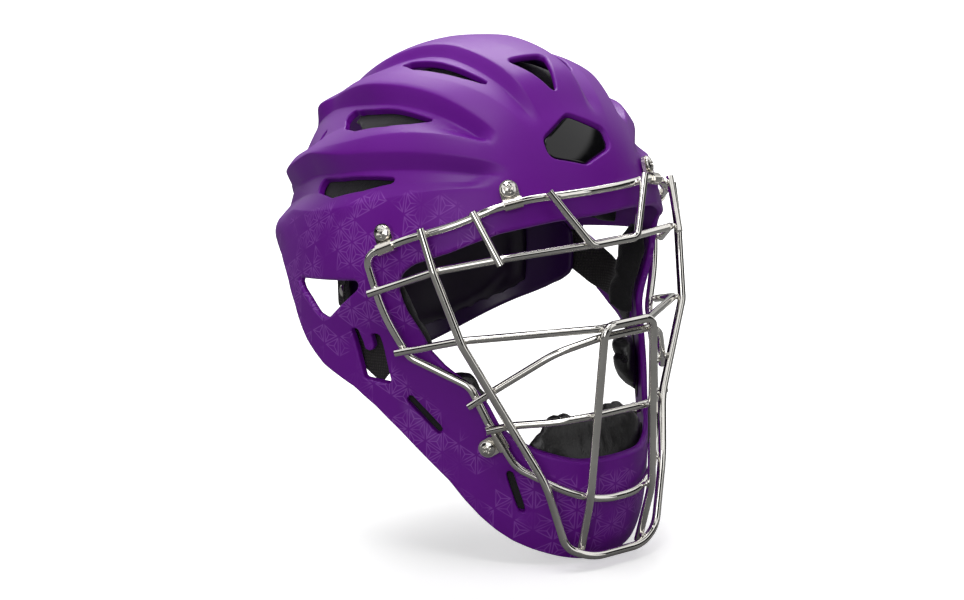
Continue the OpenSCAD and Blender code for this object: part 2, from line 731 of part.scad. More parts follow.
// A cushion against the inside of the shell. Its edges are drawn in and its face is crowned.
// rolls holds [from, to]; tilts holds [from, to] at the first roll and at the last.
pad_cells = 9;
edge_share = 0.4;
function crown(u) = sqrt(max(0, 1 - pow(abs(2 * u - 1), 5)));
function drawn_in(u) = 0.5 + (u - 0.5) * 0.93;
module cushion(rolls, tilts_first, tilts_last, depth, thickness, roll_in = 0) {
    function tilt_at(u, v) = mix(mix(tilts_first[0], tilts_last[0], u),
        mix(tilts_first[1], tilts_last[1], u), v);
    function leaning(v) = roll_in * smooth((0.45 - v) / 0.45);
    outer = [for (i = [0:pad_cells]) [for (j = [0:pad_cells])
        let (v = i / pad_cells, u = j / pad_cells)
        on_shell(mix(rolls[0], rolls[1], u), tilt_at(u, v), -wall - depth - leaning(v))]];
    inner = [for (i = [0:pad_cells]) [for (j = [0:pad_cells])
        let (v = drawn_in(i / pad_cells), u = drawn_in(j / pad_cells),
            t = thickness * (edge_share + (1 - edge_share) * crown(i / pad_cells) * crown(j / pad_cells)))
        on_shell(mix(rolls[0], rolls[1], u), tilt_at(u, v), -wall - depth - leaning(v) - t)]];
    color(pad_colour) patch(outer, inner);
}
rib_room = max(groove_depth_1, groove_depth_2) + seat_gap;
module brow_pad() {
    backing = badge_seat_depth + badge_backing - wall;
    cushion([-26, 26], [35, 55], [35, 55], backing + 3 * seat_gap, crown_pad_thickness);
}
module crown_pad() {
    cushion([-40, 40], [66, 107], [66, 107], rib_room, crown_pad_thickness);
}
module side_pad(side) {
    mirror([side, 0, 0])
        cushion([45, 74], [80, 104], [80, 104], groove_depth_3 + 2 * seat_gap, crown_pad_thickness);
}
module side_pad_right() { side_pad(0); }
module side_pad_left() { side_pad(1); }
module ear_pad(side) {
    mirror([side, 0, 0])
        cushion([69, 103], [67, 79], [55, 64], 3 * seat_gap, ear_pad_thickness);
}
module ear_pad_right() { ear_pad(0); }
module ear_pad_left() { ear_pad(1); }
module jaw_pad(side) {
    mirror([side, 0, 0])
        cushion([110.5, 131], [44, 67.5], [41, 60], seat_gap, ear_pad_thickness, 4);
}
module jaw_pad_right() { jaw_pad(0); }
module jaw_pad_left() { jaw_pad(1); }
module chin_pad() {
    cushion([144, 216], [27, 48.5], [27, 48.5], 7 * seat_gap, chin_pad_thickness, 17);
}

// Back plate: a bowl behind the head. turn is 0 at the rear and 90 at the wearer's right.
plate_front_y = 8;
plate_waist_z = 10;
plate_span_z = 92;
plate_side_low = -10;
plate_rear_low = -46;
plate_side_high = 34;
plate_rear_high = 62;
function plate_point(turn, v, inset = 0) =
    let (
        low = mix(plate_rear_low, plate_side_low, smooth(abs(turn) / 90)),
        high = mix(plate_rear_high, plate_side_high, smooth(abs(turn) / 90)),
        z = mix(low, high, v),
        girth = pow(1 - pow(abs(z - plate_waist_z) / plate_span_z, 2.3), 1 / 2.3),
        x = -(plate_half_width * girth - inset) * sin(turn),
        y = plate_front_y + (plate_depth * girth - inset) * cos(turn)
    )
    [x, y, z];
plate_columns = 24;
plate_rows = 9;
function plate_grid(turns, rise, inset) =
    [for (i = [0:plate_rows]) [for (j = [0:plate_columns])
        plate_point(mix(turns[0], turns[1], j / plate_columns), mix(rise[0], rise[1], i / plate_rows),
            inset)]];
module plate_patch(turns, rise, inset, thickness) {
    patch(plate_grid(turns, rise, inset + thickness), plate_grid(turns, rise, inset));
}
rivet_turn = 82;
rivet_d = 3;
rivet_head_d = 7;
rivet_head_height = 1.4;
lower_anchor = plate_point(rivet_turn, 0.5);
upper_anchor = plate_point(62, 0.86);
module in_rivet_frame(p, low) {
    out = unit([p[0] / pow(plate_half_width, 2), (p[1] - plate_front_y) / pow(plate_depth, 2), 0]);
    multmatrix(frame_matrix(p, out, [0, 0, 1]))
        translate([0, 0, low])
            children();
}
module back_plate() {
    color([0.2, 0.08, 0.32])
        plate_patch([-90, 90], [0, 1], 0, plate_thickness);
}
module back_plate_pad() {
    color(pad_colour) {
        inset = plate_thickness + 2.5 * seat_gap;
        turns = [-66, 66];
        outer = plate_grid(turns, [0.08, 0.93], inset);
        inner = [for (i = [0:plate_rows]) [for (j = [0:plate_columns])
            let (
                v = i / plate_rows,
                u = j / plate_columns,
                t = plate_pad_thickness * (edge_share + (1 - edge_share) * crown(v) * crown(u))
            )
            plate_point(mix(turns[0], turns[1], drawn_in(u)), mix(0.08, 0.93, drawn_in(v)), inset + t)]];
        patch(inner, outer);
    }
}

// A flat strap through points, its width along the given direction
module strap(points_along, width_dir) {
    n = len(points_along);
    function heading(k) = unit(points_along[min(k + 1, n - 1)] - points_along[max(k - 1, 0)]);
    function across(k) = let (h = heading(k)) unit(width_dir - h * (h * width_dir));
    function through(k) = let (c = cross(heading(k), across(k))) c[0] < 0 ? c : -c;
    outer = [for (s = [0, 1]) [for (k = [0:n - 1])
        points_along[k] + across(k) * (s - 0.5) * strap_width + through(k) * strap_thickness]];
    inner = [for (s = [0, 1]) [for (k = [0:n - 1])
        points_along[k] + across(k) * (s - 0.5) * strap_width]];
    patch(outer, inner);
}
function below_shell(roll, tilt, depth) = on_shell(roll, tilt, -wall - depth);
module lower_strap(side) {
    color(strap_colour)
        mirror([side, 0, 0])
            strap([
                below_shell(104.5, 71, 3), below_shell(97, 80, 5.5), below_shell(91, 88, 9),
                lower_anchor + [-4.5, -6, 0], lower_anchor + [-0.7, 2, 0], lower_anchor + [0.1, 9, 0]
            ], [0, 0.25, 1]);
}
module lower_strap_right() { lower_strap(0); }
module lower_strap_left() { lower_strap(1); }
module upper_strap(side) {
    color(strap_colour)
        mirror([side, 0, 0])
            strap([
                below_shell(43, 115, 6.5), below_shell(45, 113, 14), upper_anchor + [-5, 2.6, 13],
                upper_anchor + [-2.2, 1.5, 3], upper_anchor + [-1.5, 1.2, -8]
            ], [0.5, 1, 0]);
}
module upper_strap_right() { upper_strap(0); }
module upper_strap_left() { upper_strap(1); }
module strap_rivets() {
    color(metal_colour)
        for (side = [0, 1])
            mirror([side, 0, 0])
                in_rivet_frame(lower_anchor, strap_thickness + 2.6)
                    cylinder(h = rivet_head_height, d = rivet_head_d, $fn = 32);
}

shell();
badge_plate();
cage_perimeter();
cage_main_loop();
cage_centre_loop();
cage_brow_loop();
cage_eye_bar();
cage_cheek_bar();
cage_mouth_bar();
cage_chin_bar();
cage_stays();
cage_clips();
clip_screws();
clip_nuts();
back_plate();
back_plate_pad();
strap_rivets();
upper_strap_left();
upper_strap_right();
lower_strap_left();
lower_strap_right();
brow_pad();
crown_pad();
side_pad_left();
side_pad_right();
ear_pad_left();
ear_pad_right();
jaw_pad_left();
jaw_pad_right();
chin_pad();
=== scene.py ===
"""Looks of the softball catcher helmet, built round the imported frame. Lengths are in millimetres
until a mesh is made; the scene is in metres. Angles are in degrees, and side 0 is the wearer's
right, side 1 its mirror image."""
import math

import bmesh
import bpy
import numpy as np
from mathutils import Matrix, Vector
from mathutils.bvhtree import BVHTree


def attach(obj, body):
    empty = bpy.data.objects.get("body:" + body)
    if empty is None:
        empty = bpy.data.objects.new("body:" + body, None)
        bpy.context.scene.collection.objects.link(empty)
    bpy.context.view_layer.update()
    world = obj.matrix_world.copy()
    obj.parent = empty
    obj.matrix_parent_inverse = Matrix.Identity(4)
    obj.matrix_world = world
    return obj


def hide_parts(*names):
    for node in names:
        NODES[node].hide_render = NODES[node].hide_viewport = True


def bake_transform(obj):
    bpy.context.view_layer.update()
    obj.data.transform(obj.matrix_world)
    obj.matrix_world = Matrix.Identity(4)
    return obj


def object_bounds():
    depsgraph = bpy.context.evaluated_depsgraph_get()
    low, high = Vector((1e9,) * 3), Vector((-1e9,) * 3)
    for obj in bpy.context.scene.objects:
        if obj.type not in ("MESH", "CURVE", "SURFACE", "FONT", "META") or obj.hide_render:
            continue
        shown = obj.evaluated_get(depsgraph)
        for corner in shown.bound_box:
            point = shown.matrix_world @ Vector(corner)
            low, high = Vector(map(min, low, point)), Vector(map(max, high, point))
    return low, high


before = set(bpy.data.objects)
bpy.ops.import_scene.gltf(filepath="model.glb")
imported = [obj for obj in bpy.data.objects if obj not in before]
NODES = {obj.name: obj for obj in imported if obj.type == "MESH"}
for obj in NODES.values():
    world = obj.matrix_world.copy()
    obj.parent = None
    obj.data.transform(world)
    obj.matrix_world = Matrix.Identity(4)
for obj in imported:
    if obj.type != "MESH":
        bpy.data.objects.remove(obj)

CAD_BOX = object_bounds()
MM = 0.001

# Camera. Lens and shift come from the photograph's frame, in pixels.

IMAGE_WIDTH, FOCAL_LENGTH, AIM_COLUMN = 964, 3440, 500
AIM = Vector((0, -0.02, 0))
AZIMUTH, ELEVATION, DISTANCE = math.radians(-40), math.radians(14), 2.0


def add_camera():
    data = bpy.data.cameras.new("camera")
    data.lens = FOCAL_LENGTH / IMAGE_WIDTH * data.sensor_width
    data.shift_x = (IMAGE_WIDTH / 2 - AIM_COLUMN) / IMAGE_WIDTH
    camera = bpy.data.objects.new("camera", data)
    bpy.context.collection.objects.link(camera)
    back = Vector((math.sin(AZIMUTH) * math.cos(ELEVATION),
                   -math.cos(AZIMUTH) * math.cos(ELEVATION), math.sin(ELEVATION)))
    camera.rotation_mode = "QUATERNION"
    camera.location = AIM + back * DISTANCE
    camera.rotation_quaternion = (-back).to_track_quat("-Z", "Y")
    bpy.context.scene.camera = camera


# Small vector and mesh helpers


def smooth(t):
    t = np.clip(t, 0, 1)
    return t * t * (3 - 2 * t)


def ease(t, start, span):
    """0 up to start, then a soft rise to 1 over span."""
    return smooth((t - start) / span)


def mix(a, b, t):
    return a + (b - a) * t


def unit(v):
    return v / np.maximum(np.linalg.norm(v, axis=-1, keepdims=True), 1e-12)


def axes_about(z, up):
    """The two axes square to the unit vector z; the first is level with respect to up."""
    x = unit(np.cross(up, z))
    return x, np.cross(z, x)


def on_side(points, side):
    return points * np.array([-1, 1, 1]) if side else points


def make_object(name, points, faces, normals=None, flat=False):
    """A mesh object. Its faces turn outward, unless vertex normals are given."""
    mesh = bpy.data.meshes.new(name)
    mesh.from_pydata([tuple(p) for p in np.asarray(points, float) * MM], [], faces)
    mesh.validate()
    if normals is None:
        work = bmesh.new()
        work.from_mesh(mesh)
        bmesh.ops.recalc_face_normals(work, faces=work.faces)
        work.to_mesh(mesh)
        work.free()
    mesh.polygons.foreach_set("use_smooth", [not flat] * len(mesh.polygons))
    if normals is not None:
        mesh.normals_split_custom_set_from_vertices([tuple(n) for n in normals])
    mesh.update()
    obj = bpy.data.objects.new(name, mesh)
    bpy.context.collection.objects.link(obj)
    return obj


def merged(name, parts, flat=False):
    """One object from several (points, faces) parts."""
    points, faces = [], []
    for part_points, part_faces in parts:
        faces += [[len(points) + i for i in face] for face in part_faces]
        points += list(part_points)
    return make_object(name, points, faces, flat=flat)


def band_faces(rows, count, closed=False):
    """Faces between rings of count points, and from the last ring to the first if closed."""
    return [(r * count + k, r * count + (k + 1) % count,
             (r + 1) % rows * count + (k + 1) % count, (r + 1) % rows * count + k)
            for r in range(rows if closed else rows - 1) for k in range(count)]


def capped(rings, first, last):
    """A closed surface over rings of as many points each, with a point at either end."""
    rows, count = len(rings), len(rings[0])
    top, bottom, start = rows * count, rows * count + 1, (rows - 1) * count
    faces = band_faces(rows, count)
    faces += [((k + 1) % count, k, top) for k in range(count)]
    faces += [(start + k, start + (k + 1) % count, bottom) for k in range(count)]
    return np.vstack([*rings, [first], [last]]), faces


def circle(radius, height, count):
    """Points round the axis. The radius may be one for each point."""
    turn = 2 * math.pi * np.arange(count) / count
    return np.stack([radius * np.cos(turn), radius * np.sin(turn), np.full(count, height)], 1)


def turned(profile, count):
    """A solid of revolution through (radius, height) points that start and end on the axis."""
    rings = [circle(r, h, count) for r, h in profile[1:-1]]
    return capped(rings, (0, 0, profile[0][1]), (0, 0, profile[-1][1]))


def closed_sheet(name, outer, inner, side=0, edge_steps=2):
    """A closed sheet between two grids of points [row, column], with half-round edges."""
    outer, inner = on_side(np.array(outer), side), on_side(np.array(inner), side)
    rows, columns = outer.shape[:2]
    index = np.arange(rows * columns).reshape(rows, columns)
    quads = np.stack([index[:-1, :-1], index[:-1, 1:], index[1:, 1:], index[1:, :-1]],
                     -1).reshape(-1, 4)
    faces = quads.tolist() + (quads[:, [0, 3, 2, 1]] + rows * columns).tolist()
    points = [*outer.reshape(-1, 3), *inner.reshape(-1, 3)]
    border = np.concatenate([index[0], index[1:, -1], index[-1, -2::-1], index[-2:0:-1, 0]])
    rings = []
    for k in border.tolist():
        i, j = divmod(k, columns)
        o, n = outer[i, j], inner[i, j]
        outward = unit(o - outer[min(max(i, 1), rows - 2), min(max(j, 1), columns - 2)])
        ring = [k]
        for turn in np.linspace(0, math.pi, edge_steps + 2)[1:-1]:
            ring.append(len(points))
            points.append(mix(o, n, (1 - math.cos(turn)) / 2)
                          + outward * 0.5 * np.linalg.norm(n - o) * math.sin(turn))
        rings.append(ring + [rows * columns + k])
    for a, b in zip(rings, rings[1:] + rings[:1]):
        faces += [(a[k], a[k + 1], b[k + 1], b[k]) for k in range(edge_steps + 1)]
    return make_object(name, points, faces)


def dress(obj, material, slot, *stands_for, body="helmet"):
    """Gives a piece its material and body, and hides the solids that it stands for. The slot is not
    used.
    """
    obj.data.materials.clear()
    obj.data.materials.append(material)
    if body:
        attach(obj, body)
    if stands_for:
        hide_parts(*stands_for)


# The smooth shell: distance from the head centre along a direction

HALF_WIDTH, BROW_REACH, REAR_REACH, CROWN_HEIGHT = 112, 116, 133, 148
BASE_DEPTH, LOWER_REACH = 150, 150
CHEEK_TURN, CHEEK_REACH, CHEEK_FADE, CHIN_REACH = math.radians(38), 98, 30, 124
BAND = (-6, 32)
PLAN_ROUND, FRONT_ROUND, REAR_ROUND, STEEP_ROUND, BLEND_ROUND = 1.95, 2.45, 2.1, 6, 12
STEEP_FADE = 12
WALL = 4.2


def reach(d):
    x, y, z = np.abs(d[..., 0]), d[..., 1], d[..., 2]
    elevation = np.degrees(np.arctan2(z, np.hypot(x, y)))
    s = ease(elevation, BAND[0], BAND[1] - BAND[0])
    long = np.where(y < 0, mix(LOWER_REACH, BROW_REACH, s), REAR_REACH)
    tall = np.where(z > 0, CROWN_HEIGHT, BASE_DEPTH)
    up_round = mix(REAR_ROUND, FRONT_ROUND, smooth(0.5 - y))
    v = np.where(z > 0, up_round, mix(up_round, STEEP_ROUND, smooth(-elevation / STEEP_FADE)))
    oval = ((x / HALF_WIDTH) ** PLAN_ROUND + (np.abs(y) / long) ** PLAN_ROUND) ** (1 / PLAN_ROUND)
    cheek = np.maximum(x * math.cos(CHEEK_TURN) - y * math.sin(CHEEK_TURN), 0) / (
        CHEEK_REACH + CHEEK_FADE * s)
    chin = np.maximum(-y, 0) / CHIN_REACH
    plan = (oval ** BLEND_ROUND + cheek ** BLEND_ROUND + chin ** BLEND_ROUND) ** (1 / BLEND_ROUND)
    return (plan ** v + (np.abs(z) / tall) ** v) ** (-1 / v)


def aim(roll, tilt):
    """Unit direction. Roll is 0 at the top and grows to the wearer's right, tilt is 0 ahead."""
    r, t = np.radians(roll), np.radians(tilt)
    return np.stack([-np.sin(t) * np.sin(r), -np.cos(t) + 0 * r, np.sin(t) * np.cos(r)], -1)


def on_shell(roll, tilt, lift=0.0):
    d = aim(np.asarray(roll, float), np.asarray(tilt, float))
    return d * (reach(d) + lift)[..., None]


# Ribs: rolls of each crest, its foot and the rise after it, and their heights, by tilt

RIDGE_HEIGHT, GROOVES, RIB_FLARE, CORNER_FLARE = 4.5, (2, 6.5, 6), 4, 2


def corner_height(roll, tilt):
    return CORNER_FLARE * ease(tilt, 110, 20) * ease(roll, 60, 5) * smooth((73 - roll) / 6)


def rib_lines(tilt):
    """Rolls and heights of the lengthwise lines of one side at one tilt.

    Each change along a line is given by the tilt where it begins and the degrees that it takes."""
    t = min(max(tilt, 47), 140)
    crest = (8.5 + 5.3 * ease(t, 86, 28),
             21.4 + 4.2 * ease(t, 54, 44) + 1.5 * ease(t, 116, 10),
             45.2 - 17 * (max(107 - t, 0) / 52) ** 2.2 + 1.6 * ease(t, 108, 14))
    foot = (crest[0] + 2.4, crest[1] + 2.8, crest[2] + 3.2)
    rise = (14.5 + 6.8 * ease(t, 56, 38),
            max(foot[1] + 1.5, min(crest[2] - 0.8, 43.6 - 17.6 * (max(110 - t, 0) / 50) ** 1.7)),
            max(foot[2] + 2, 60 - 26 * (max(108 - t, 0) / 57) ** 2.1 + 3 * ease(t, 115, 15)))
    high = (RIDGE_HEIGHT * ease(t, 57, 12) * (1 - 0.85 * ease(t, 88, 28)),
            (1.5 * ease(t, 64, 14) + 1.5 * ease(t, 84, 20)
             + RIB_FLARE * ease(t, 116, 8)) * (1 - ease(t, 124, 6)),
            (0.5 * ease(t, 50, 14) + 1.1 * RIB_FLARE * ease(t, 90, 22)) * (1 - ease(t, 131, 7)))
    low = (-GROOVES[0] * (ease(t, 55.5, 6) + 0.75 * ease(t, 85, 25)),
           -GROOVES[1] * ease(t, 58.5, 5) * (1 - 0.9 * ease(t, 98, 27)),
           -GROOVES[2] * ease(t, 50, 8) * (1 - 0.35 * ease(t, 108, 24)))
    back = ease(t, 100, 25)
    rolls = [0, crest[0] / 2, crest[0], foot[0], rise[0], crest[1], foot[1],
             mix(foot[1], rise[1], mix(0.5, 0.8, back)), rise[1], crest[2], foot[2],
             (foot[2] + rise[2]) / 2]
    heights = [high[0], high[0] * 0.95, high[0], low[0], high[1] * 0.4, high[1], low[1],
               mix(low[1] * 0.62, -2.6, back), high[2] * 0.7, high[2], low[2],
               low[2] * mix(0.62, 1.05, back)]
    side = np.linspace(rise[2], 180, 60)
    return np.concatenate([rolls, side]), np.concatenate([heights, corner_height(side, tilt)])


TABLE_STEP = 0.25
TABLE_ROLLS = np.arange(-180, 180, TABLE_STEP)
TABLE_TILTS = np.arange(15, 155, TABLE_STEP)
# Blur across the rolls and along the tilts, and the steps of roll that the inner face keeps clear
OUTER_BLUR, INNER_BLUR, INNER_CLEARANCE = (0.32, 0.55), (1.0, 1.5), 7


def blurred(table, across, along):
    """Gaussian blur of a table, across the rolls, which wrap round, and along the tilts."""
    for axis, sigma, mode in ((1, across / TABLE_STEP, "wrap"), (0, along / TABLE_STEP, "edge")):
        n = int(3 * sigma) + 1
        weights = np.exp(-0.5 * (np.arange(-n, n + 1) / sigma) ** 2)
        weights /= weights.sum()
        pad = [(0, 0), (0, 0)]
        pad[axis] = (n, n)
        wide = np.pad(table, pad, mode=mode)
        table = sum(w * np.take(wide, np.arange(k, k + table.shape[axis]), axis)
                    for k, w in enumerate(weights))
    return table


def height_tables():
    """Rib heights of the outer face and of the inner one, which keeps clear of the outer."""
    raw = np.array([np.interp(np.abs(TABLE_ROLLS), *rib_lines(t)) for t in TABLE_TILTS])
    inner = np.min([np.roll(raw, k, 1) for k in range(-INNER_CLEARANCE, INNER_CLEARANCE + 1)], 0)
    return blurred(raw, *OUTER_BLUR), blurred(inner, *INNER_BLUR)


OUTER_HEIGHTS, INNER_HEIGHTS = height_tables()


def height(table, roll, tilt):
    """Value of a height table at a roll and a tilt, by linear blending."""
    u = (np.asarray(roll) - TABLE_ROLLS[0]) / TABLE_STEP
    v = np.clip((np.asarray(tilt) - TABLE_TILTS[0]) / TABLE_STEP, 0, len(TABLE_TILTS) - 1.001)
    i, j = np.floor(v).astype(int), np.floor(u).astype(int)
    near, far = j % len(TABLE_ROLLS), (j + 1) % len(TABLE_ROLLS)
    return mix(mix(table[i, near], table[i, far], u - j),
               mix(table[i + 1, near], table[i + 1, far], u - j), v - i)


# Cutters. Distances are positive where the shell stays.


def rounded(points, radius, steps=6):
    """A polygon with its corners rounded by short curves."""
    pts = [np.array(p, float) for p in points]
    out = []
    for k, p in enumerate(pts):
        a, b = pts[k - 1] - p, pts[(k + 1) % len(pts)] - p
        la, lb = np.linalg.norm(a), np.linalg.norm(b)
        turn = math.pi - math.acos(np.clip(a @ b / (la * lb), -1, 1))
        back = min(radius * math.tan(min(turn, 3.0) / 2), 0.48 * la, 0.48 * lb)
        first, last = p + a / la * back, p + b / lb * back
        out += [(1 - s) ** 2 * first + 2 * s * (1 - s) * p + s * s * last
                for s in np.linspace(0, 1, steps + 1)]
    return np.array(out)


def outside(points, outline):
    """Signed distance of 2-D points from a closed outline, positive outside it."""
    best = np.full(points.shape[:-1], 1e9)
    inside = np.zeros(points.shape[:-1], bool)
    for a, b in zip(outline, np.roll(outline, -1, 0)):
        edge = b - a
        length = edge @ edge
        if length < 1e-12:
            continue
        t = np.clip(((points - a) @ edge) / length, 0, 1)
        best = np.minimum(best, np.linalg.norm(points - a - t[..., None] * edge, axis=-1))
        crosses = (a[1] > points[..., 1]) != (b[1] > points[..., 1])
        x = a[0] + (points[..., 1] - a[1]) / (edge[1] if edge[1] else 1e-12) * edge[0]
        inside ^= crosses & (points[..., 0] < x)
    return np.where(inside, -best, best)


def slot_distance(points, stations):
    """Distance from a slot through (roll, tilt, radius) stations, measured square to the ray."""
    rays = unit(points)
    best = np.full(points.shape[:-1], 1e9)
    for s, e in zip(stations, stations[1:]):
        a, b = on_shell(*s[:2]), on_shell(*e[:2])
        t = np.clip(((points - a) @ (b - a)) / ((b - a) @ (b - a)), 0, 1)
        v = points - a - t[..., None] * (b - a)
        v = v - (v * rays).sum(-1, keepdims=True) * rays
        best = np.minimum(best, np.linalg.norm(v, axis=-1) - mix(s[2], e[2], t))
    return best


def circle_hull(circles):
    """The outline round circles (x, y, radius)."""
    points = np.vstack([circle(r, 0, 24)[:, :2] + [x, y] for x, y, r in circles])
    hull, order = [], sorted(map(tuple, points))
    for sweep in (order, order[::-1]):
        part = []
        for p in sweep:
            while len(part) > 1 and ((part[-1][0] - part[-2][0]) * (p[1] - part[-2][1])
                                     <= (part[-1][1] - part[-2][1]) * (p[0] - part[-2][0])):
                part.pop()
            part.append(p)
        hull += part[:-1]
    return np.array(hull)


def flat_distance(points, origin, x, y, outline):
    v = points - origin
    return outside(np.stack([v @ x, v @ y], -1), outline)


# Openings seen from the side, as (y, z) outlines, and slots and vents as (roll, tilt, radius)
FACE_OUTLINE = [
    (-200, 66), (-103, 66), (-90, 61), (-72, 50), (-56, 42.5), (-50, 37), (-47.5, 28), (-49, 14),
    (-54, -9), (-62, -19), (-77, -33), (-82, -41), (-87, -53), (-94, -60), (-104, -66),
    (-118, -72), (-200, -72)]
RIM_OUTLINE = [
    (-200, -137), (-109, -137), (-107, -132.5), (-101, -128.5), (-95, -125), (-88.5, -120.5),
    (-82, -114), (-76, -106.5), (-69, -96), (-63, -86), (-54, -75), (-40, -58), (-28, -45),
    (-16, -35), (-6, -30), (5, -25), (14, -19), (21, -14), (27, -8), (32, -2), (36, 4), (42, 10),
    (47, 16), (54, 21), (63, 26), (77, 29), (90, 33), (99, 42), (103, 55), (106, 68), (112, 80),
    (122, 92), (135, 100), (200, 106), (200, -200), (-200, -200)]
EAR_HOLE = [(28.5, 21.5), (-2, 26), (-21, 28.8), (-23.3, 27.8), (-23.6, 25.5), (-22, 23),
            (-18.5, 20), (-9.8, 12.5), (-0.8, 4.2), (1, 3.5), (3.5, 3.8), (9, 5.2), (18.2, 12),
            (26.5, 16.7), (29.6, 19.5)]
STRAP_WINDOW = [(-15, 0), (-19.5, 0), (-23, -12), (-28, -12), (-26.5, -2), (-31, -2),
                (-36.5, -31), (-22.5, -29)]
SIDE_SLOTS = [
    [(36.5, 113, 1.6), (39.6, 114, 1.6)],
    [(13, 72.5, 1.8), (14.2, 77, 3.8), (15.2, 84, 5.6), (16.1, 90, 6.4), (15.9, 96, 3.4)],
    [(28.3, 75.5, 1.2), (30.2, 80, 4.6), (31.9, 86, 7.6), (33.6, 95, 9), (33.2, 100, 8),
     (31.8, 103.5, 4.5)],
    [(46, 76, 1.9), (49.1, 84, 4.6), (51.9, 95, 6.4), (51.6, 103, 4.6)]]
JAW_SLOTS = [[(114.5, 64.8, 2.2), (126, 58.6, 2.2)], [(147.5, 46.6, 2.2), (155, 49.4, 2.2)]]
DISH_DEPTH, DISH_MARGIN, DISH_SLOPE = 1.4, 3.8, 2.6
CROWN_VENT, CROWN_VENT_TILT = [(0, 63.6, 2.2), (3.7, 73, 3.2), (-3.7, 73, 3.2)], 70

EDGE_ROUND, FINE_ROUND = 1.7, 1.0
# Outlines with the radius of their corners and the rounding of their edges
OUTLINES = [(FACE_OUTLINE, 9, EDGE_ROUND), (RIM_OUTLINE, 7, EDGE_ROUND), (EAR_HOLE, 4, EDGE_ROUND),
            (STRAP_WINDOW, 1.4, FINE_ROUND)]

# Badge: corner circles of its outline, the radius of its dome, and depths below the shell
BADGE_TILT, BADGE_CORNER, BADGE_DOME, BADGE_EDGE = 49.8, 5, 112, 0.7
BADGE_CORNERS = [(0, 10.5), (16.5, 1.5), (16.5, -2.2), (0, -8), (-16.5, -2.2), (-16.5, 1.5)]
SEAT_DEPTH, SEAT_GAP, BADGE_THICKNESS, SEAT_MARGIN = 3.8, 0.35, 1.4, 1.3
SEAT_ROUND, SEAT_LIP, SEAT_TURNS, SEAT_ROLLS = 1.3, 1.1, np.radians([18, 36, 54, 68]), 30


def surface_normal(roll, tilt):
    a = on_shell(roll + 0.5, tilt) - on_shell(roll - 0.5, tilt)
    b = on_shell(roll, tilt + 0.5) - on_shell(roll, tilt - 0.5)
    n = unit(np.cross(a, b))
    return n if n @ on_shell(roll, tilt) > 0 else -n


BADGE_ORIGIN = on_shell(0, BADGE_TILT)
BADGE_Z = surface_normal(0, BADGE_TILT)
BADGE_X, BADGE_Y = axes_about(BADGE_Z, [0, 0, 1])


def badge_outline(grow):
    return circle_hull([(x, y, BADGE_CORNER + grow) for x, y in BADGE_CORNERS])


def dome_point(x, y, depth):
    """A point of the badge's dome, from its plane coordinates."""
    drop = BADGE_DOME - math.sqrt(BADGE_DOME ** 2 - x * x - y * y)
    return BADGE_ORIGIN + BADGE_X * x + BADGE_Y * y - BADGE_Z * (drop + depth)


def resampled(outline, count):
    """Points evenly spaced along a closed outline."""
    closed = np.vstack([outline, outline[:1]])
    run = np.concatenate([[0], np.cumsum(np.linalg.norm(np.diff(closed, axis=0), axis=1))])
    where = np.linspace(0, run[-1], count, endpoint=False)
    return np.stack([np.interp(where, run, closed[:, k]) for k in (0, 1)], 1)


def build_badge():
    """A domed plate with a soft edge, at the bottom of its seat."""
    top = SEAT_DEPTH - SEAT_GAP - BADGE_THICKNESS
    rings = [(badge_outline(-BADGE_EDGE) * share, top) for share in np.linspace(0.08, 1, 14)]
    rings += [(badge_outline(BADGE_EDGE * (math.sin(turn) - 1)),
               top + BADGE_EDGE * (1 - math.cos(turn))) for turn in np.radians([30, 60, 90])]
    rings.append((rings[-1][0], top + BADGE_THICKNESS))
    rings = [[dome_point(x, y, depth) for x, y in resampled(outline, 96)]
             for outline, depth in rings]
    return merged("badge_dome", [capped(rings, dome_point(0, 0, top),
                                        dome_point(0, 0, top + BADGE_THICKNESS))])


def crown_vent_distance(points):
    middle = on_shell(0, CROWN_VENT_TILT)
    x, y = axes_about(unit(middle), [0, 1, 0])
    corners = [(on_shell(r, t) - middle, radius) for r, t, radius in CROWN_VENT]
    return flat_distance(points, middle, x, y,
                         circle_hull([(p @ x, p @ y, radius) for p, radius in corners]))


# The skin: a grid over the whole shell, trimmed along the cutters. Its columns lie between one
# lengthwise line of the ribs and the next, packed near the lines, and then down the side.

RIB_COLUMNS = (4, 5, 6, 7, 6, 7, 7, 6, 6, 7, 7, 6)
SIDE_COLUMNS = 98
GRID_TILTS = np.linspace(19, 147, 178)
# The lines of the ribs would cross ahead of this tilt
STRAIGHT_TILT = 54


def half_columns(tilt):
    """Rolls of the grid's columns from the top down one side, at one tilt."""
    lines = rib_lines(max(tilt, STRAIGHT_TILT))[0][:len(RIB_COLUMNS) + 1]
    rolls = []
    for a, b, n in zip(lines, lines[1:], RIB_COLUMNS):
        rolls += [mix(a, b, (1 - math.cos(math.pi * k / n)) / 2) for k in range(n)]
    return rolls + list(np.linspace(lines[-1], 180, SIDE_COLUMNS))


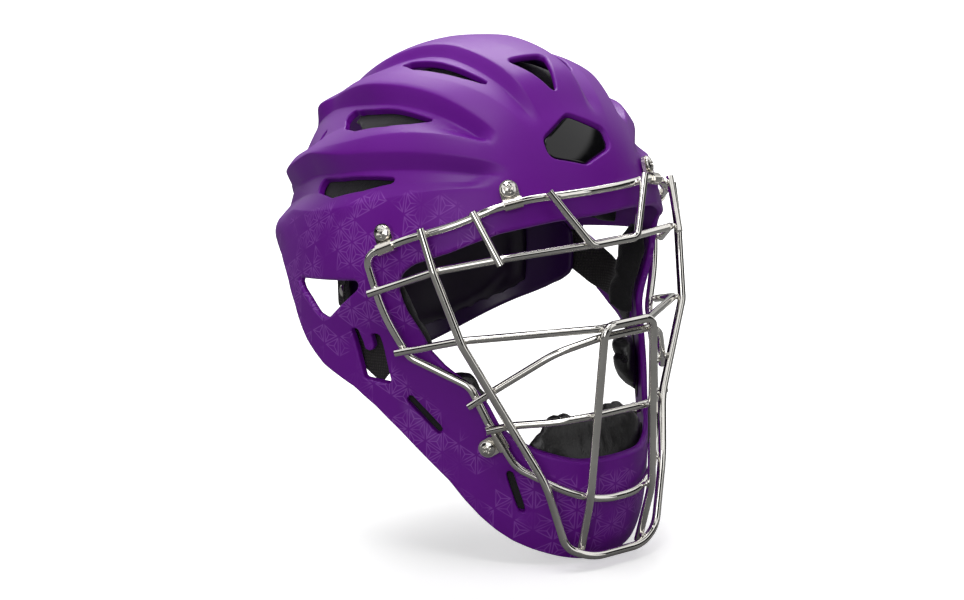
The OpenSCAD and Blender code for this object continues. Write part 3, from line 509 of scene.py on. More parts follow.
def shell_grid():
    """Points of the outer and inner face, outer normals, and the distances from the cuts and
    from the badge's seat, each with the rounding of its edge."""
    halves = [half_columns(t) for t in GRID_TILTS]
    roll = np.array([half + [-r for r in half[-2:0:-1]] for half in halves])
    tilt = np.repeat(GRID_TILTS[:, None], roll.shape[1], 1)
    bare = on_shell(roll, tilt)
    right = np.where(bare[..., :1] > 0, on_side(bare, 1), bare)
    jaw = [slot_distance(right, s) for s in JAW_SLOTS]
    outer_height = height(OUTER_HEIGHTS, roll, tilt)
    for distance in jaw:
        outer_height = outer_height - DISH_DEPTH * smooth((DISH_MARGIN - distance) / DISH_SLOPE)
    d = unit(bare)
    outer = d * (reach(d) + outer_height)[..., None]
    inner = d * (reach(d) + height(INNER_HEIGHTS, roll, tilt) - WALL)[..., None]
    across = np.roll(outer, -1, 1) - np.roll(outer, 1, 1)
    normal = unit(np.cross(across, np.gradient(outer, axis=0)))
    normal = np.where((normal * d).sum(-1, keepdims=True) < 0, -normal, normal)
    cuts = [(outside(outer[..., 1:], rounded(outline, radius)), edge)
            for outline, radius, edge in OUTLINES]
    cuts.append((crown_vent_distance(bare), EDGE_ROUND))
    cuts += [(slot_distance(right, s), FINE_ROUND) for s in SIDE_SLOTS]
    cuts += [(distance, FINE_ROUND) for distance in jaw]
    # The seat's outline holds only on the brow
    seat = flat_distance(outer, BADGE_ORIGIN, BADGE_X, BADGE_Y, badge_outline(SEAT_MARGIN))
    return outer, inner, normal, cuts, (seat + 1e3 * (np.abs(roll) > SEAT_ROLLS), SEAT_ROUND)


def nearest_cut(outer, cuts):
    """Distance to the nearest rounded edge along the surface, its direction and its rounding."""
    def steps(field):
        return (np.roll(field, -1, 1) - np.roll(field, 1, 1)) / 2, np.gradient(field, axis=0)

    pu, pv = steps(outer)
    a, b, c = (pu * pu).sum(-1), (pu * pv).sum(-1), (pv * pv).sum(-1)
    det = np.maximum(a * c - b * b, 1e-9)
    value, slope, rounding = np.full(a.shape, np.inf), np.zeros(outer.shape), np.zeros(a.shape)
    for distance, edge in cuts:
        fu, fv = steps(distance)
        s = (((c * fu - b * fv) / det)[..., None] * pu
             + ((a * fv - b * fu) / det)[..., None] * pv)
        # The limits keep kinks of the grid from throwing the distance out
        v = distance / np.clip(np.linalg.norm(s, axis=-1), 0.35, 1.5) - edge
        nearer = v < value
        value = np.where(nearer, v, value)
        slope = np.where(nearer[..., None], s, slope)
        rounding = np.where(nearer, edge, rounding)
    return value, slope, rounding


def trim(value):
    """Cells of a grid that wraps across, kept where value is positive.

    Gives the corners used, as (row, column), the crossings of the cut, as pairs of corners, the
    faces, in which crossing k is written as -1 - k, and the edges along the cut."""
    keep = value > 0
    corners, crossings, faces, cut_edges = {}, {}, [], []
    beside = np.roll(keep, -1, 1)
    for i, j in zip(*np.nonzero(keep[:-1] | beside[:-1] | keep[1:] | beside[1:])):
        j2 = (j + 1) % value.shape[1]
        ring = [(i, j), (i, j2), (i + 1, j2), (i + 1, j)]
        face, cut = [], []
        for p, q in zip(ring, ring[1:] + ring[:1]):
            if keep[p]:
                face.append(corners.setdefault(p, len(corners)))
            if keep[p] != keep[q]:
                face.append(-1 - crossings.setdefault((min(p, q), max(p, q)), len(crossings)))
                cut.append((face[-1], keep[p]))
        faces.append(face)
        cut_edges += [(c, cut[(k + 1) % len(cut)][0]) for k, (c, leaving) in enumerate(cut)
                      if leaving]
    return list(corners), list(crossings), faces, cut_edges


def at_crossings(field, value, crossings):
    """A grid field at the crossings, where value is zero between two corners.

    A crossing stays a little off its corners, so that no face shrinks to nothing."""
    a, b, c, d = np.array(crossings).reshape(-1, 4).T
    share = np.clip(value[a, b] / (value[a, b] - value[c, d]), 0.02, 0.98)
    return mix(field[a, b], field[c, d], share.reshape(-1, *[1] * (field.ndim - 2)))


def edge_profile(edge, steps=4):
    """Share towards the hole, depth and turn, from the outer face round to the inner one."""
    turn = np.linspace(0, math.pi / 2, steps + 1)
    first = [(edge * math.sin(a), edge * (1 - math.cos(a)), a) for a in turn]
    last = [(edge * math.cos(a), WALL - edge * (1 - math.sin(a)), a + math.pi / 2) for a in turn]
    return first + last


def build_skin():
    """Outer face, inner face and the rounded edges between them, as one closed mesh."""
    outer, inner, normal, cuts, seat = shell_grid()
    points, normals, faces = [], [], []

    def add(point, direction):
        points.append(point)
        normals.append(unit(direction))
        return len(points) - 1

    def add_face(face, flip):
        faces.append(face[::-1] if flip else face)

    def add_sheet(field, direction, value, flip):
        """Adds one face of the shell. Gives the point of each crossing, and the cut's edges."""
        corners, crossings, sheet_faces, cut_edges = trim(value)
        start, first = len(points), len(points) + len(corners)
        rows, columns = np.array(corners).T
        for grid, made in ((field, points), (direction, normals)):
            made.extend(grid[rows, columns])
            made.extend(at_crossings(grid, value, crossings))
        normals[start:] = unit(np.array(normals[start:]))
        for face in sheet_faces:
            add_face([start + k if k >= 0 else first - 1 - k for k in face], flip)
        return ({key: first + k for k, key in enumerate(crossings)},
                [(crossings[-1 - a], crossings[-1 - b]) for a, b in cut_edges])

    value = nearest_cut(outer, cuts)[0]
    seat_value, slope, edge = nearest_cut(outer, cuts + [seat])
    facing = (normal * np.cross(np.roll(outer, -1, 1) - outer,
                                np.roll(outer, -1, 0) - outer)).sum(-1)
    flip = np.median(facing) < 0
    top, cut_edges = add_sheet(outer, normal, seat_value, flip)
    bottom, _ = add_sheet(inner, -normal, value, not flip)
    rings = {}
    for key, e, away in zip(top, at_crossings(edge, seat_value, list(top)),
                            at_crossings(slope, seat_value, list(top))):
        p, n = points[top[key]], normals[top[key]]
        towards = unit((away @ n) * n - away)
        ring = rings[key] = [top[key]]
        if key in bottom:
            through = (points[bottom[key]] - p) / WALL
            for out, depth, turn in edge_profile(e)[1:-1]:
                ring.append(add(p + through * depth + towards * out,
                                n * math.cos(turn) + towards * math.sin(turn)))
            ring.append(bottom[key])
            continue
        seat_point = p + towards * (e + SEAT_MARGIN - SEAT_GAP) - BADGE_ORIGIN
        foot = dome_point(seat_point @ BADGE_X, seat_point @ BADGE_Y, SEAT_DEPTH)
        for turn in SEAT_TURNS:
            bend = towards * math.sin(turn) - n * (1 - math.cos(turn))
            ring.append(add(p + bend * SEAT_LIP, n * math.cos(turn) + towards * math.sin(turn)))
        ring.append(add(mix(points[ring[-1]], foot, 0.85), n * 0.4 + towards))
        ring.append(add(foot, n))
    floor = add(dome_point(0, 0, SEAT_DEPTH), BADGE_Z)
    for first, last in cut_edges:
        a, b = rings[first], rings[last]
        for k in range(min(len(a), len(b)) - 1):
            add_face([a[k], a[k + 1], b[k + 1], b[k]], flip)
        if first not in bottom and last not in bottom:
            add_face([a[-1], floor, b[-1]], flip)
    return make_object("shell_skin", points, faces, normals)


# Back plate and its shape at a turn and a share of its height

PLATE_FRONT, PLATE_WAIST, PLATE_SPAN, PLATE_HALF_WIDTH, PLATE_DEPTH = 8, 10, 92, 82, 67
PLATE_LOW, PLATE_HIGH, PLATE_THICKNESS, PLATE_ROUND = (-46, -10), (62, 34), 3.2, 2.3
# Its ends round off from this turn on, and a stiffening step of this depth runs inside its edge
PLATE_END, PLATE_END_DROP, PLATE_STEP = 62, 0.34, 0.9
PLATE_TURNS, PLATE_HEIGHTS = np.linspace(-88.8, 88.8, 120), np.linspace(0.018, 0.982, 44)


def plate_point(turn, v, inset=0.0):
    turn = np.asarray(turn, float)
    share = smooth(np.abs(turn) / 90)
    z = mix(mix(*PLATE_LOW, share), mix(*PLATE_HIGH, share), v)
    girth = (1 - (np.abs(z - PLATE_WAIST) / PLATE_SPAN) ** PLATE_ROUND) ** (1 / PLATE_ROUND)
    a = np.radians(turn)
    return np.stack([-(PLATE_HALF_WIDTH * girth - inset) * np.sin(a),
                     PLATE_FRONT + (PLATE_DEPTH * girth - inset) * np.cos(a), z + 0 * a], -1)


def rounded_ends(share, past, depth):
    """Draws a share of the height in towards the middle, where past runs from 0 to 1."""
    drop = depth * (1 - np.sqrt(1 - past ** 2))
    return mix(drop, 1 - drop, share)


def build_back_plate():
    """The bowl behind the head, drawn in by half its thickness so that its round edge fits."""
    turn, v = np.meshgrid(PLATE_TURNS, PLATE_HEIGHTS)
    past = np.clip((np.abs(turn) - PLATE_END) / (90 - PLATE_END), 0, 1)
    v = rounded_ends(v, past, PLATE_END_DROP)
    side = np.minimum(1 - np.abs(turn) / 90, 2 * np.minimum(v, 1 - v) * 0.9)
    return closed_sheet("back_plate_shell", plate_point(turn, v, PLATE_STEP * ease(side, 0.1, 0.05)),
                        plate_point(turn, v, PLATE_THICKNESS), edge_steps=3)


# Straps: ribbons of webbing along smooth curves

STRAP_WIDTH, STRAP_THICKNESS, SELVEDGE, ROUND_EDGES = 22, 1.8, 0.35, 1.2


def smooth_path(points, per_span=10):
    """A Catmull-Rom curve through the points."""
    pts = np.array(points, float)
    pts = np.vstack([2 * pts[0] - pts[1], pts, 2 * pts[-1] - pts[-2]])
    out = []
    for a, b, c, d in zip(pts, pts[1:], pts[2:], pts[3:]):
        for t in np.arange(per_span) / per_span:
            out.append(0.5 * (2 * b + (c - a) * t + (2 * a - 5 * b + 4 * c - d) * t * t
                              + (3 * b - a - 3 * c + d) * t ** 3))
    return np.array(out + [pts[-2]])


def ribbon(name, points, width_dir, side):
    """A woven strap with thin selvedges."""
    path = smooth_path(points)
    heading = unit(np.gradient(path, axis=0))
    across = np.array(width_dir, float)
    across = unit(across - heading * (heading @ across)[:, None])
    through = np.cross(heading, across)
    through = np.where(through[:, :1] < 0, through, -through)
    outer, inner = [], []
    for s in np.linspace(-0.5, 0.5, 15):
        rim = SELVEDGE * ease(abs(s), 0.4, 0.1)
        base = path + across * s * (STRAP_WIDTH - ROUND_EDGES)
        outer.append(base + through * (STRAP_THICKNESS - rim))
        inner.append(base + through * rim)
    return closed_sheet(name, outer, inner, side)


def lining(name, a, b, half_width, low, thick, side, spare):
    """A thin foam strip on the inner face of the shell, behind the slot from a to b."""
    heading = unit(on_shell(*b) - on_shell(*a))
    rows = []
    for w in np.linspace(-1, 1, 9):
        row = []
        for share in np.linspace(-spare, 1 + spare, 21):
            pull = math.sqrt(max(0.0, 1 - (2 * (share - 0.5) / (1 + 2 * spare)) ** 8))
            p = on_shell(mix(a[0], b[0], share), mix(a[1], b[1], share))
            row.append(unit(p + np.cross(unit(p), heading) * w * half_width * max(pull, 0.5)))
        rows.append(row)
    d = np.array(rows)
    inward = d * (reach(d) - WALL - low)[..., None]
    return closed_sheet(name, inward, inward - d * thick, side)


def below_shell(roll, tilt, depth):
    return on_shell(roll, tilt, -WALL - depth)


LOWER_ANCHOR, UPPER_ANCHOR = plate_point(82, 0.5), plate_point(62, 0.86)
LOWER_STRAP = [below_shell(104.5, 71, 3), below_shell(97, 80, 5.5), below_shell(91, 88, 9),
               LOWER_ANCHOR + [-4.5, -6, 0], LOWER_ANCHOR + [-0.7, 2, 0],
               LOWER_ANCHOR + [0.1, 9, 0]]
UPPER_STRAP = [below_shell(43, 115, 6.5), below_shell(45, 113, 14), UPPER_ANCHOR + [-3, 2, 12],
               UPPER_ANCHOR + [-2.2, 1.5, 3], UPPER_ANCHOR + [-1.5, 1.2, -8]]
# Each strap's path, its width's direction, and where its free part between shell and plate starts.
# The upper strap runs under the shell first, and only the part after that is free.
STRAPS = {"lower": (LOWER_STRAP, (0, 0.25, 1), LOWER_STRAP[0]),
          "upper": (UPPER_STRAP, (0.5, 1, 0), mix(UPPER_STRAP[1], UPPER_STRAP[2], 0.5))}


# Cushions: the space that each pad fills, then a cloth simulation that swells its cover

EDGE_SHARE, SHRINK, PAD_CELLS, PAD_GAP = 0.4, 1.2, 24, 0.35
VOXEL, SWELL_CAP, SWELL_FRAMES = 4.5, 2.2, 20
COVER_CLOTH = {"quality": 5, "mass": 0.3, "tension_stiffness": 15, "compression_stiffness": 15,
               "bending_stiffness": 0.6, "use_pressure": True, "uniform_pressure_force": 4}
# Rolls, the tilts at the first and at the last roll, depth under the shell's wall, thickness,
# how far one edge leans in, and the share of the length where the ends begin to round off
PADS = {
    "brow_pad": ((-26, 26), (35, 55), (35, 55), 2.65, 12, 0, 0.86),
    "crown_pad": ((-40, 40), (66, 107), (66, 107), GROOVES[1] + PAD_GAP, 12, 0, 0.8),
    "side_pad": ((45, 74), (80, 104), (80, 104), 6.7, 12, 0, 0.92),
    "ear_pad": ((69, 103), (67, 79), (55, 64), 1.05, 17, 0, 0.75),
    "jaw_pad": ((110.5, 131), (44, 67.5), (41, 60), 0.35, 17, 4, 0.8),
    "chin_pad": ((144, 216), (27, 48.5), (27, 48.5), 2.45, 15, 17, 0.5),
}
# Sewn channels: axis, shares along it, depth and width
PAD_CHANNELS = {
    "brow_pad": ("u", (0.33, 0.67), 2.6, 2.2),
    "crown_pad": ("u", (0.27, 0.5, 0.73), 3.4, 2.6),
    "side_pad": ("v", (0.5,), 2.8, 2.4),
    "ear_pad": ("u", (0.5,), 2.4, 2.2),
    "jaw_pad": ("u", (0.5,), 2.2, 2.0),
    "chin_pad": ("u", (0.2, 0.31, 0.41, 0.5, 0.6, 0.69, 0.8), 1.7, 1.6),
}
PAIRED = ("side_pad", "ear_pad", "jaw_pad")
# Shares of a pad's outline that its outer and inner face take before it swells, and shares of
# its thickness where the face with the channels begins and how softly
OUTER_SHARE, INNER_SHARE, FACE_START, FACE_FADE = 0.96, 0.91, 0.35, 0.3
PLATE_PAD_TURN, PLATE_PAD_HEIGHTS, PLATE_PAD_THICKNESS, PLATE_PAD_INSET = 66, (0.08, 0.93), 9, 4.1


def crown(u):
    return np.sqrt(np.maximum(0, 1 - np.abs(2 * u - 1) ** 5))


def fullness(u, v):
    """Share of a pad's thickness, which falls off towards its edges."""
    return EDGE_SHARE + (1 - EDGE_SHARE) * crown(u) * crown(v)


def cushion_form(name, kind, side):
    """The cushion's solid, drawn in all round so that it can swell, with rounded ends."""
    rolls, first, last, depth, thickness, roll_in, ends = PADS[kind]
    share = np.linspace(0, 1, PAD_CELLS + 1)
    v, u = np.meshgrid(share, share, indexing="ij")
    fill = thickness * fullness(u, v)
    v = rounded_ends(v, np.clip((np.abs(2 * u - 1) - ends) / (1 - ends), 0, 0.96), 0.5)

    def grid(amount, down):
        a, b = 0.5 + (u - 0.5) * amount, 0.5 + (v - 0.5) * amount
        tilt = mix(mix(first[0], last[0], a), mix(first[1], last[1], a), b)
        lean = roll_in * smooth((0.45 - b) / 0.45)
        d = aim(mix(*rolls, a), tilt)
        return d * (reach(d) - WALL - depth - lean - down)[..., None]

    return closed_sheet(name, grid(OUTER_SHARE, SHRINK * 0.6), grid(INNER_SHARE, fill - SHRINK),
                        side)


def plate_pad_form(name):
    (low, high), edge = PLATE_PAD_HEIGHTS, PLATE_PAD_TURN - 2.5
    turn, v = np.meshgrid(np.linspace(-edge, edge, 40), np.linspace(low + 0.02, high - 0.02, 22))
    u = (turn / PLATE_PAD_TURN + 1) / 2
    fill = PLATE_PAD_THICKNESS * fullness(u, (v - low) / (high - low)) - SHRINK
    return closed_sheet(name, plate_point(turn, v, PLATE_PAD_INSET + 0.5),
                        plate_point(turn, v, PLATE_PAD_INSET + fill))


def points_of(obj):
    co = np.zeros(len(obj.data.vertices) * 3)
    obj.data.vertices.foreach_get("co", co)
    return co.reshape(-1, 3) / MM


def set_points(obj, points):
    obj.data.vertices.foreach_set("co", (np.asarray(points) * MM).ravel())
    obj.data.update()


def applied(obj):
    """Replaces the object's mesh by its evaluated one and drops the modifiers."""
    graph = bpy.context.evaluated_depsgraph_get()
    mesh = bpy.data.meshes.new_from_object(obj.evaluated_get(graph), depsgraph=graph)
    obj.modifiers.clear()
    old = obj.data
    obj.data = mesh
    bpy.data.meshes.remove(old)


def modified(obj, kind, **settings):
    """Applies a modifier to the object's mesh."""
    modifier = obj.modifiers.new(kind, kind)
    for key, value in settings.items():
        setattr(modifier, key, value)
    applied(obj)


def swell(cushions):
    """Runs one cloth simulation over all the cushions; no point moves further than the cap."""
    rest = {}
    for obj in cushions:
        rest[obj.name] = points_of(obj)
        cloth = obj.modifiers.new("cloth", "CLOTH")
        for key, value in COVER_CLOTH.items():
            setattr(cloth.settings, key, value)
        cloth.settings.effector_weights.gravity = 0
        cloth.collision_settings.use_collision = False
        cloth.collision_settings.use_self_collision = False
        cloth.point_cache.frame_start, cloth.point_cache.frame_end = 1, SWELL_FRAMES
    for frame_number in range(1, SWELL_FRAMES + 1):
        bpy.context.scene.frame_set(frame_number)
    for obj in cushions:
        applied(obj)
        moved = points_of(obj) - rest[obj.name]
        moved -= moved.mean(0)
        length = np.maximum(np.linalg.norm(moved, axis=1, keepdims=True), 1e-9)
        set_points(obj, rest[obj.name] + moved * np.minimum(1, SWELL_CAP / length))
    bpy.context.scene.frame_set(1)


def angles(points):
    """Roll, tilt and distance of points from the head centre."""
    r = np.linalg.norm(points, axis=1)
    return (np.degrees(np.arctan2(-points[:, 0], points[:, 2])),
            np.degrees(np.arccos(np.clip(-points[:, 1] / r, -1, 1))), r)


def kept_inside(obj):
    """Keeps a cushion clear of the inner face of the shell."""
    points = points_of(obj)
    roll, tilt, r = angles(points)
    limit = reach(unit(points)) + height(INNER_HEIGHTS, roll, tilt) - WALL - PAD_GAP
    set_points(obj, points * np.minimum(1, limit / r)[:, None])


def press_channels(obj, kind, side):
    """Presses the sewn channels into the face of a cushion."""
    rolls, first, last, low, thickness, _, _ = PADS[kind]
    axis, shares, depth, width = PAD_CHANNELS[kind]
    points = points_of(obj)
    roll, tilt, r = angles(points)
    if side:
        roll = -roll
    roll = np.where(roll < min(rolls) - 90, roll + 360, roll)
    u = (roll - rolls[0]) / (rolls[1] - rolls[0])
    start, end = mix(first[0], last[0], u), mix(first[1], last[1], u)
    v = (tilt - start) / (end - start)
    face = ease((reach(unit(points)) - WALL - low - r) / thickness, FACE_START, FACE_FADE)
    if axis == "u":
        length = math.radians(abs(rolls[1] - rolls[0])) * r * np.sin(np.radians(tilt))
    else:
        length = math.radians(first[1] - first[0]) * r
    away = np.min([np.abs((u if axis == "u" else v) - share) for share in shares], axis=0)
    push = np.exp(-(away * length / width) ** 2)
    set_points(obj, points * (1 + depth * face * push / r)[:, None])


def build_pads():
    """Every cushion, as a list of (object, CAD node, kind)."""
    made = []
    for kind in PADS:
        for side in (0, 1) if kind in PAIRED else (0,):
            node_name = f"{kind}_{'left' if side else 'right'}" if kind in PAIRED else kind
            made.append((cushion_form(node_name + "_cover", kind, side), node_name, kind, side))
    made.append((plate_pad_form("back_plate_pad_cover"), "back_plate_pad", "back_plate_pad", 0))
    for obj, *_ in made:
        modified(obj, "REMESH", mode="VOXEL", voxel_size=VOXEL * MM, use_smooth_shade=True)
    swell([obj for obj, *_ in made])
    for obj, _, kind, side in made:
        modified(obj, "SUBSURF", levels=1, render_levels=1)
        if kind in PAD_CHANNELS:
            press_channels(obj, kind, side)
            kept_inside(obj)
    return [row[:3] for row in made]


# Fasteners. Clips sit as in the CAD, on the straight of the perimeter wire between two bends,
# given by their rolls and tilts, and at a share of it.

CLIP_PLACES = [((28.5, 42.6), (39.5, 47.6), 0.5), ((59.5, 63.8), (67.4, 74.6), 0.5),
               ((128, 43.2), (144.5, 43.1), 0.41)]
WIRE_LIFT, WIRE_JAW_LIFT = 4.6, 1.4
CLIP_REACH, TAB_SEAT, TAB_THICKNESS = 8.5, 1.12, 2.2
SHANK_RADIUS, SHANK_POINT = 2, 0.4
HEAD_RADIUS, HEAD_HEIGHT, HEAD_BEVEL, HEAD_RIM, HEAD_BEND = 4.5, 2.8, 0.3, 0.8, 1.3
RECESS_DEPTH, RECESS_ARM, RECESS_REACH, RECESS_HUB = 1.35, 0.62, 2.5, 1.15
ARM_SLOPE, REACH_SLOPE, HUB_SLOPE = 0.16, 0.3, 0.2
NUT_CORNER, NUT_HEIGHT, NUT_BORE, NUT_CHAMFER, NUT_GAP, NUT_POINTS = 4.25, 3, 2.05, 0.45, 1.4, 72
RIVET_RADIUS, RIVET_FOOT, RIVET_RIM, RIVET_DOME, RIVET_LIFT = 3.5, 3.2, 0.2, 1.2, 2.6


def above(p):
    d = unit(p)
    return d * reach(d)


def shell_normal(p):
    q = unit(p)
    side = np.cross(q, [0, 0.02, 0])
    n = unit(np.cross(above(q + side) - above(q), above(q + np.cross(q, side)) - above(q)))
    return n if n @ q > 0 else -n


def clip_axes(start, end, share):
    """Where a clip's screw meets the shell, and its axes."""
    first, second = (on_shell(roll, tilt, WIRE_LIFT + WIRE_JAW_LIFT * ease(roll, 135, 25))
                     for roll, tilt in (start, end))
    p = mix(first, second, share)
    x = -unit(second - first)
    y = unit(np.cross(shell_normal(p), x))
    n = shell_normal(p + y * CLIP_REACH)
    z = unit(n - x * (n @ x))
    y = np.cross(z, x)
    floor = (above(p + y * CLIP_REACH) - p) @ z
    return p + y * CLIP_REACH + z * floor, x, y, z


def placed(points, origin, x, y, z, side):
    return on_side(origin + points @ np.array([x, y, z]), side)


def on_clips(points, faces):
    """A part of each clip, on both sides."""
    return [(placed(points, *clip_axes(*place), side), faces)
            for place in CLIP_PLACES for side in (0, 1)]


def build_screws():
    """Pan heads with a cross recess, and their shanks down to below the nuts."""
    seat = TAB_SEAT + TAB_THICKNESS + 0.1
    top, low = seat + HEAD_HEIGHT, -WALL - NUT_GAP - NUT_HEIGHT - SHANK_POINT
    profile = [(0, low), (SHANK_RADIUS - SHANK_POINT, low), (SHANK_RADIUS, low + SHANK_POINT),
               (SHANK_RADIUS, seat), (HEAD_RADIUS - HEAD_BEVEL, seat),
               (HEAD_RADIUS, seat + HEAD_BEVEL), (HEAD_RADIUS, seat + HEAD_RIM)]
    profile += [(HEAD_RADIUS * math.cos(a), seat + HEAD_RIM + HEAD_BEND * math.sin(a))
                for a in np.linspace(0.2, 0.9, 5)]
    shoulder, shoulder_height = profile[-1]
    profile += [(r, mix(top, shoulder_height, (r / shoulder) ** 2))
                for r in np.linspace(shoulder, 0.12, 22)[1:]]
    points, faces = turned(profile + [(0, top - RECESS_DEPTH)], 72)
    x, y = np.abs(points[:, :2].T)
    arms = smooth((RECESS_ARM - np.minimum(x, y)) / ARM_SLOPE)
    arms *= smooth((RECESS_REACH - np.maximum(x, y)) / REACH_SLOPE)
    hub = smooth((RECESS_HUB - np.hypot(x, y)) / HUB_SLOPE)
    # The head's crown is pressed in, and the shank and the middle of the recess aren't
    crown_points = points[:, 2] >= top - 1.2
    points[:, 2] -= RECESS_DEPTH * np.maximum(arms, hub) * crown_points
    return merged("screw_set", on_clips(points, faces))


def build_nuts():
    """Hexagon nuts with chamfered corners, as rings that run on round through the bore."""
    turn = 2 * math.pi * np.arange(NUT_POINTS) / NUT_POINTS
    hexagon = NUT_CORNER * math.cos(math.pi / 6) / np.cos(turn % (math.pi / 3) - math.pi / 6)
    profile = [(NUT_BORE, 0), (0.9 * NUT_CORNER, 0), (NUT_CORNER, NUT_CHAMFER)]
    profile += [(r, NUT_HEIGHT - h) for r, h in profile[::-1]]
    rings = [circle(np.minimum(r, hexagon), h - WALL - NUT_GAP - NUT_HEIGHT, NUT_POINTS)
             for r, h in profile]
    return merged("nut_set", on_clips(np.vstack(rings), band_faces(len(rings), NUT_POINTS, True)),
                  flat=True)


def build_rivets():
    out = unit(np.array([LOWER_ANCHOR[0] / PLATE_HALF_WIDTH ** 2,
                         (LOWER_ANCHOR[1] - PLATE_FRONT) / PLATE_DEPTH ** 2, 0]))
    x, y = axes_about(out, [0, 0, 1])
    base = LOWER_ANCHOR + out * (STRAP_THICKNESS + RIVET_LIFT)
    profile = [(0, 0), (RIVET_FOOT, 0), (RIVET_RADIUS, RIVET_RIM)]
    profile += [(RIVET_RADIUS * math.cos(a), RIVET_RIM + RIVET_DOME * math.sin(a))
                for a in np.linspace(0.15, 1.35, 9)]
    points, faces = turned(profile + [(0, RIVET_RIM + RIVET_DOME)], 48)
    return merged("rivet_heads", [(placed(points, base, x, y, out, side), faces)
                                  for side in (0, 1)])


# Weld beads, in metres: how near two wires lie, how far the beads, and the steps of the search.
# Their radius, in millimetres, varies a little.
WELD_NEAR, WELD_APART, WELD_STEP = 0.0009, 0.007, 0.0015
BEAD_RADIUS, BEAD_CHANGE = 1.75, 0.12


def build_welds():
    """A small bead of weld metal wherever two wires of the cage touch."""
    wires = [name for name in NODES if name.startswith("cage_") and name != "cage_clips"]
    trees, clouds = {}, {}
    for name in wires:
        mesh = NODES[name].data
        trees[name] = BVHTree.FromPolygons([v.co for v in mesh.vertices],
                                           [p.vertices for p in mesh.polygons])
        clouds[name] = []
        for e in mesh.edges:
            a, b = (mesh.vertices[k].co for k in e.vertices)
            steps = max(1, int((b - a).length / WELD_STEP))
            clouds[name] += [a.lerp(b, (k + 0.5) / steps) for k in range(steps)]
    spots = []
    for i, first in enumerate(wires):
        for second in wires[i + 1:]:
            for p in clouds[first]:
                q, _, _, distance = trees[second].find_nearest(p, WELD_NEAR)
                if q is not None:
                    spots.append(((p + q) / 2, distance))
    centres = []
    for p, _ in sorted(spots, key=lambda s: s[1]):
        if all((p - c).length > WELD_APART for c in centres):
            centres.append(p)
    ball = [(math.cos(a), math.sin(a)) for a in np.linspace(-1.3, 1.3, 9)]
    parts = []
    for n, c in enumerate(centres):
        points, faces = turned([(0, -1), *ball, (0, 1)], 20)
        points = points * (BEAD_RADIUS + BEAD_CHANGE * math.sin(2.4 * n)) * [1, 1, 0.92]
        ripple = 1 + 0.05 * np.sin(5 * points[:, 0] + n) * np.cos(4 * points[:, 1])
        parts.append((points * ripple[:, None] + np.array(c) / MM, faces))
    return merged("weld_beads", parts)


# Materials


class Value:
    """A shader node's output that can be reckoned with."""

    def __init__(self, tree, socket):
        self.tree, self.socket = tree, socket

    def __add__(self, other):
        return self.tree.calc("ADD", self, other)

    def __mul__(self, other):
        return self.tree.calc("MULTIPLY", self, other)

    def __sub__(self, other):
        return self.tree.calc("SUBTRACT", self, other)

    def __rsub__(self, other):
        return self.tree.calc("SUBTRACT", other, self)

    def ramp(self, low, high, first=0, last=1):
        """Maps low..high to first..last."""
        return self.tree.get("Result", "MapRange", Value=self, From_Min=low, From_Max=high,
                             To_Min=first, To_Max=last)


class Tree:
    """The nodes of a material or world. Input names are written with underscores for spaces."""

    def __init__(self, owner):
        owner.use_nodes = True
        self.owner = owner
        self.nodes, self.links = owner.node_tree.nodes, owner.node_tree.links
        self.shader = self.nodes.get("Principled BSDF") or self.nodes["Background"]

    def put(self, socket, value):
        if isinstance(value, Value):
            self.links.new(value.socket, socket)
        else:
            socket.default_value = (*value, 1) if isinstance(value, tuple) else value

    def set(self, **values):
        """Sets the shader's own sockets."""
        for key, value in values.items():
            self.put(self.shader.inputs[key.replace("_", " ")], value)

    def make(self, kind, **values):
        made = self.nodes.new("ShaderNode" + kind)
        for key, value in values.items():
            if key in made.bl_rna.properties:
                setattr(made, key, value)
            else:
                self.put(made.inputs[key.replace("_", " ")], value)
        return made

    def get(self, output, kind, **values):
        return Value(self, self.make(kind, **values).outputs[output])

    def calc(self, operation, *values):
        """A Math node, or a chain of them for more than two values."""
        while len(values) > 2:
            values = (self.calc(operation, *values[:2]), *values[2:])
        made = self.make("Math", operation=operation)
        for socket, value in zip(made.inputs, values):
            self.put(socket, value)
        return Value(self, made.outputs[0])

    def mixed(self, factor, a, b):
        """Colour a where factor is 0 and b where it is 1."""
        made = self.make("Mix", data_type="RGBA")
        for index, value in ((0, factor), (6, a), (7, b)):
            self.put(made.inputs[index], value)
        return Value(self, made.outputs[2])

    def place(self, kind="Object"):
        return self.get(kind, "TexCoord")

    def axes(self, kind="Object"):
        made = self.make("SeparateXYZ", Vector=self.place(kind))
        return [Value(self, socket) for socket in made.outputs]

    def ray(self, kind):
        return self.get(f"Is {kind} Ray", "LightPath")

    def noise(self, scale, detail=2, rough=0.5):
        return self.get("Fac", "TexNoise", Vector=self.place(), Scale=scale, Detail=detail,
                        Roughness=rough)

    def cells(self, scale):
        return self.get("Distance", "TexVoronoi", Vector=self.place(), Scale=scale)

    def bump(self, height, distance, strength):
        self.set(Normal=self.get("Normal", "Bump", Height=height, Distance=distance,
                                 Strength=strength))

    def clouds(self, cloud, dark, light, rough, spread=(0.3, 0.7)):
        """Lets colour and roughness vary with soft clouds. Gives the colour."""
        colour = self.mixed(cloud.ramp(*spread), dark, light)
        self.set(Base_Color=colour, Roughness=cloud.ramp(0.3, 0.7, *rough))
        return colour


def new_material(name):
    return Tree(bpy.data.materials.new(name))


WHITE, BLACK = (1, 1, 1), (0, 0, 0)
INK = (0.40, 0.12, 0.62)
# The print: the side of its triangles, how far its leaves are drawn in, the radius that it is
# unrolled at, and a count of rows that keeps its shares above zero
LEAF_SIDE, LEAF_INSET, PRINT_RADIUS, LATTICE_START = 12.5, 0.75, 108, 40
